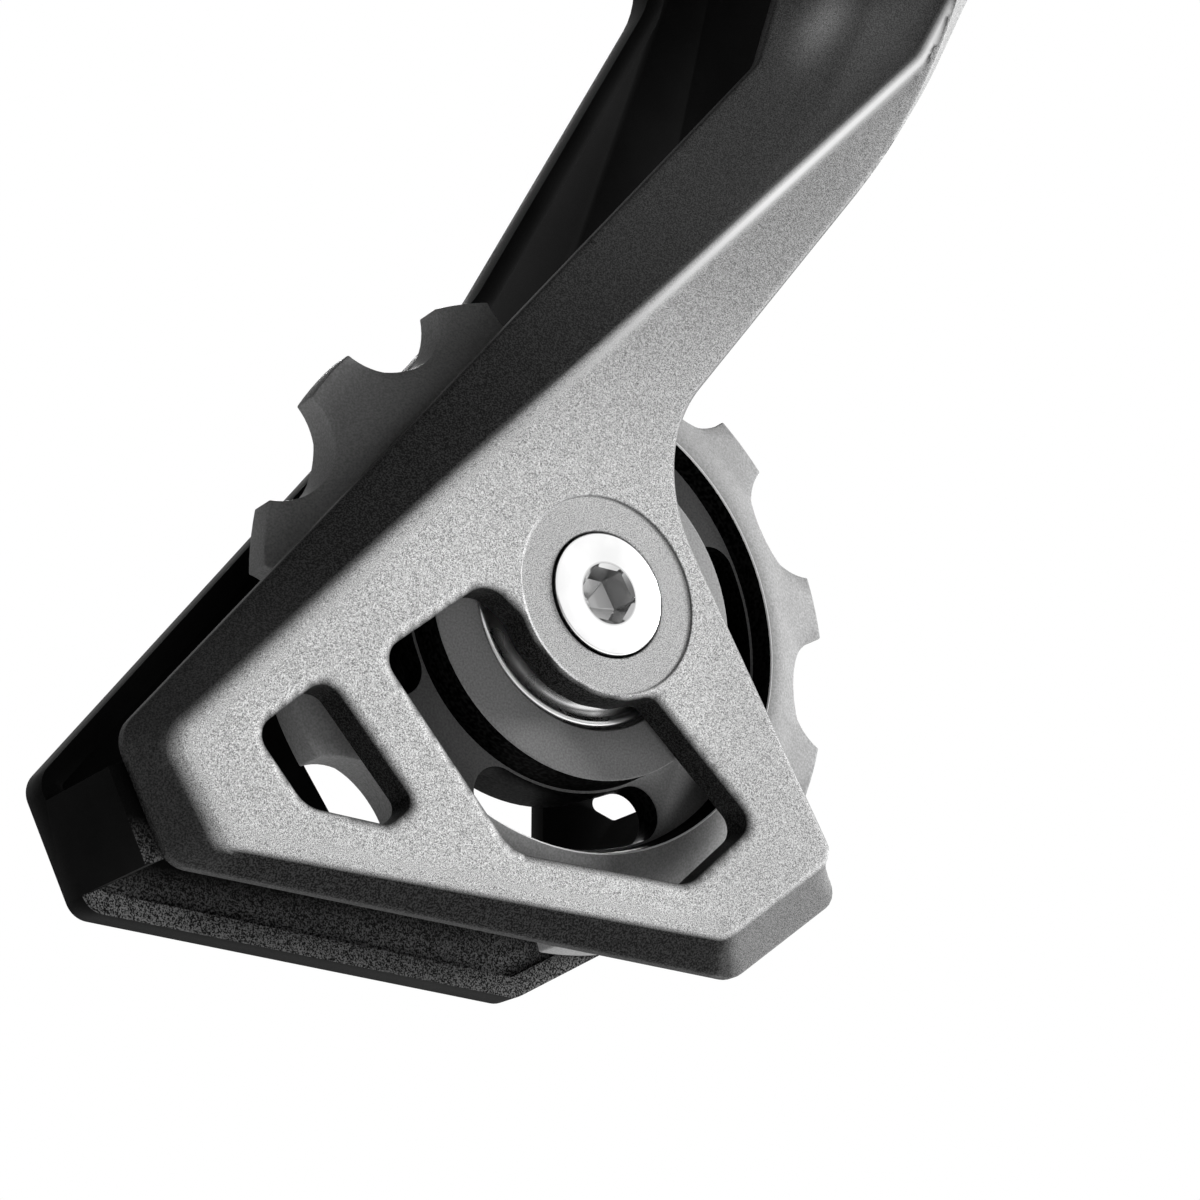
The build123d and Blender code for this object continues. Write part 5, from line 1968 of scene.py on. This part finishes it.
    def dress_cover(self, shop: PaintShop) -> None:
        """Turn the cover of the lower knuckle, with a shallow ring and a dished middle."""
        axis = frame_joint("cage_swing")
        seat = Seat((axis[0], self.cover_y, axis[2]), (0.0, Side.OUTBOARD.value, 0.0))
        edge, top = self.cover_radius, self.cover_height
        rows = [*self.cover_back, (edge, 0.0)]
        rows += rounded_rows((edge, 0.0), (edge, top), (0.0, top), self.cover_edge, 6)
        rows += self.cover_front
        Turned("knuckle_cover", seat, rows, "knuckle_cover").dress(shop)

    def dress(self, shop: PaintShop) -> None:
        """Build every piece of the linkage."""
        for node, width in self.soft.items():
            SoftEdges(node, width, tone=self.plate_tone if node == "inner_cage_plate" else None).dress(shop)
        self.dress_pins(shop)
        self.dress_anchor(shop)
        self.dress_screws(shop)
        self.dress_spring(shop)
        self.dress_cover(shop)


# --------------------------------------------------------------------------- studio


@dataclass(frozen=True)
class Lamp:
    """Soft square lamp."""

    name: str
    place: Place
    size: float
    power: float

    def hang(self, target: Vector) -> None:
        """Hang the lamp.

        Args:
            target: What it is aimed at, in millimetres.
        """
        lamp = bpy.data.lights.new(self.name, "AREA")
        lamp.size = self.size * MM
        lamp.energy = self.power
        place = Vector(self.place)
        turn = (target - place).normalized().to_track_quat("-Z", "Y").to_matrix().to_4x4()
        add_object(self.name, lamp).matrix_world = Matrix.Translation(place * MM) @ turn


@dataclass
class Studio:
    """Pale floor, white surroundings, soft lamps and the photograph's camera."""

    target: Place = (-11.08, 5.0, -141.02)
    camera_offset: Place = (-115.07, -165.53, -74.05)
    camera_right: Place = (0.8228, -0.5683, 0.0)
    camera_up: Place = (-0.1949, -0.2822, 0.9394)
    camera_back: Place = (-0.5338, -0.7730, -0.3429)
    lens: float = 90.0
    sensor: float = 36.0
    clip_start_m: float = 0.01
    floor_z: float = -430.0
    floor_half_m: float = 12.0
    floor_level: float = 0.8
    floor_roughness: float = 0.9
    glow_reach_m: Point = (0.45, 1.6)
    glow_levels: Point = (0.45, 0.97)
    sky_strength: float = 0.07
    middle: Place = (10.0, 0.0, -100.0)
    lamps: tuple[Lamp, ...] = (
        Lamp("key", (1180.0, -390.0, 316.0), 340.0, 38.0),
        Lamp("back", (420.0, 640.0, 260.0), 300.0, 12.0),
    )

    def aim_camera(self) -> None:
        """Set the camera where the photograph was taken from."""
        camera = bpy.data.cameras.new("camera")
        camera.lens = self.lens
        camera.sensor_width = self.sensor
        camera.clip_start = self.clip_start_m
        holder = add_object("camera", camera)
        axes = Matrix((self.camera_right, self.camera_up, self.camera_back)).transposed()
        place = Vector(self.target) + Vector(self.camera_offset)
        holder.matrix_world = Matrix.Translation(place * MM) @ axes.to_4x4()
        bpy.context.scene.camera = holder

    def lay_floor(self) -> None:
        """Lay the pale floor, which the camera sees fade into the white surroundings."""
        half, z = self.floor_half_m, self.floor_z * MM
        mesh = bpy.data.meshes.new("floor")
        mesh.from_pydata([(-half, -half, z), (half, -half, z), (half, half, z), (-half, half, z)], [],
                         [(0, 1, 2, 3)])
        desk = FinishDesk("floor_card")
        away = desk.add("VectorMath", {"operation": "LENGTH"})
        desk.feed(away, 0, desk.coordinates)
        glow = desk.ramp(away.outputs["Value"], self.glow_reach_m, self.glow_levels, Curve.SMOOTH)
        seen = desk.add("LightPath").outputs["Is Camera Ray"]
        desk.surface(Base_Color=grey(self.floor_level), Roughness=self.floor_roughness,
                     Specular_IOR_Level=0.0, Emission_Color=grey(1.0),
                     Emission_Strength=desk.reckon("MULTIPLY", seen, glow))
        mesh.materials.append(desk.material)
        add_object("floor", mesh)

    def light_world(self) -> None:
        """White surroundings for the camera and for reflections, and a dim sky for the rest."""
        world = bpy.data.worlds.new("studio")
        bpy.context.scene.world = world
        world.use_nodes = True
        world.node_tree.nodes.clear()
        desk = NodeDesk(world.node_tree)
        path = desk.add("LightPath").outputs
        glossy = desk.reckon("MAXIMUM", path["Is Camera Ray"], path["Is Glossy Ray"])
        clear = desk.reckon("MAXIMUM", glossy, path["Is Transmission Ray"])
        mixed = desk.add("MixShader")
        dim, seen = (desk.add("Background", Color=grey(1.0), Strength=strength)
                     for strength in (self.sky_strength, 1.0))
        for socket, value in enumerate((clear, dim.outputs[0], seen.outputs[0])):
            desk.feed(mixed, socket, value)
        desk.add("OutputWorld", Surface=mixed.outputs[0])

    def build(self) -> None:
        """Build the whole studio."""
        self.aim_camera()
        self.lay_floor()
        self.light_world()
        for lamp in self.lamps:
            lamp.hang(Vector(self.middle))
        bpy.context.scene.view_settings.view_transform = "Standard"


def main() -> None:
    """Dress the frame and report each step."""
    logging.basicConfig(level=logging.INFO)
    Studio().build()
    LOG.info("studio built")
    shop = PaintShop()
    LOG.info("dressed %d CAD nodes", shop.dress_nodes())
    OuterCagePlate().dress(shop)
    for name in ("tension", "guide"):
        PulleySet(name, frame_joint(f"{name}_pulley_spin")).dress(shop)
    HangerBolt().dress(shop)
    Adjuster().dress(shop)
    Linkage().dress(shop)


if __name__ == "__main__":
    main()
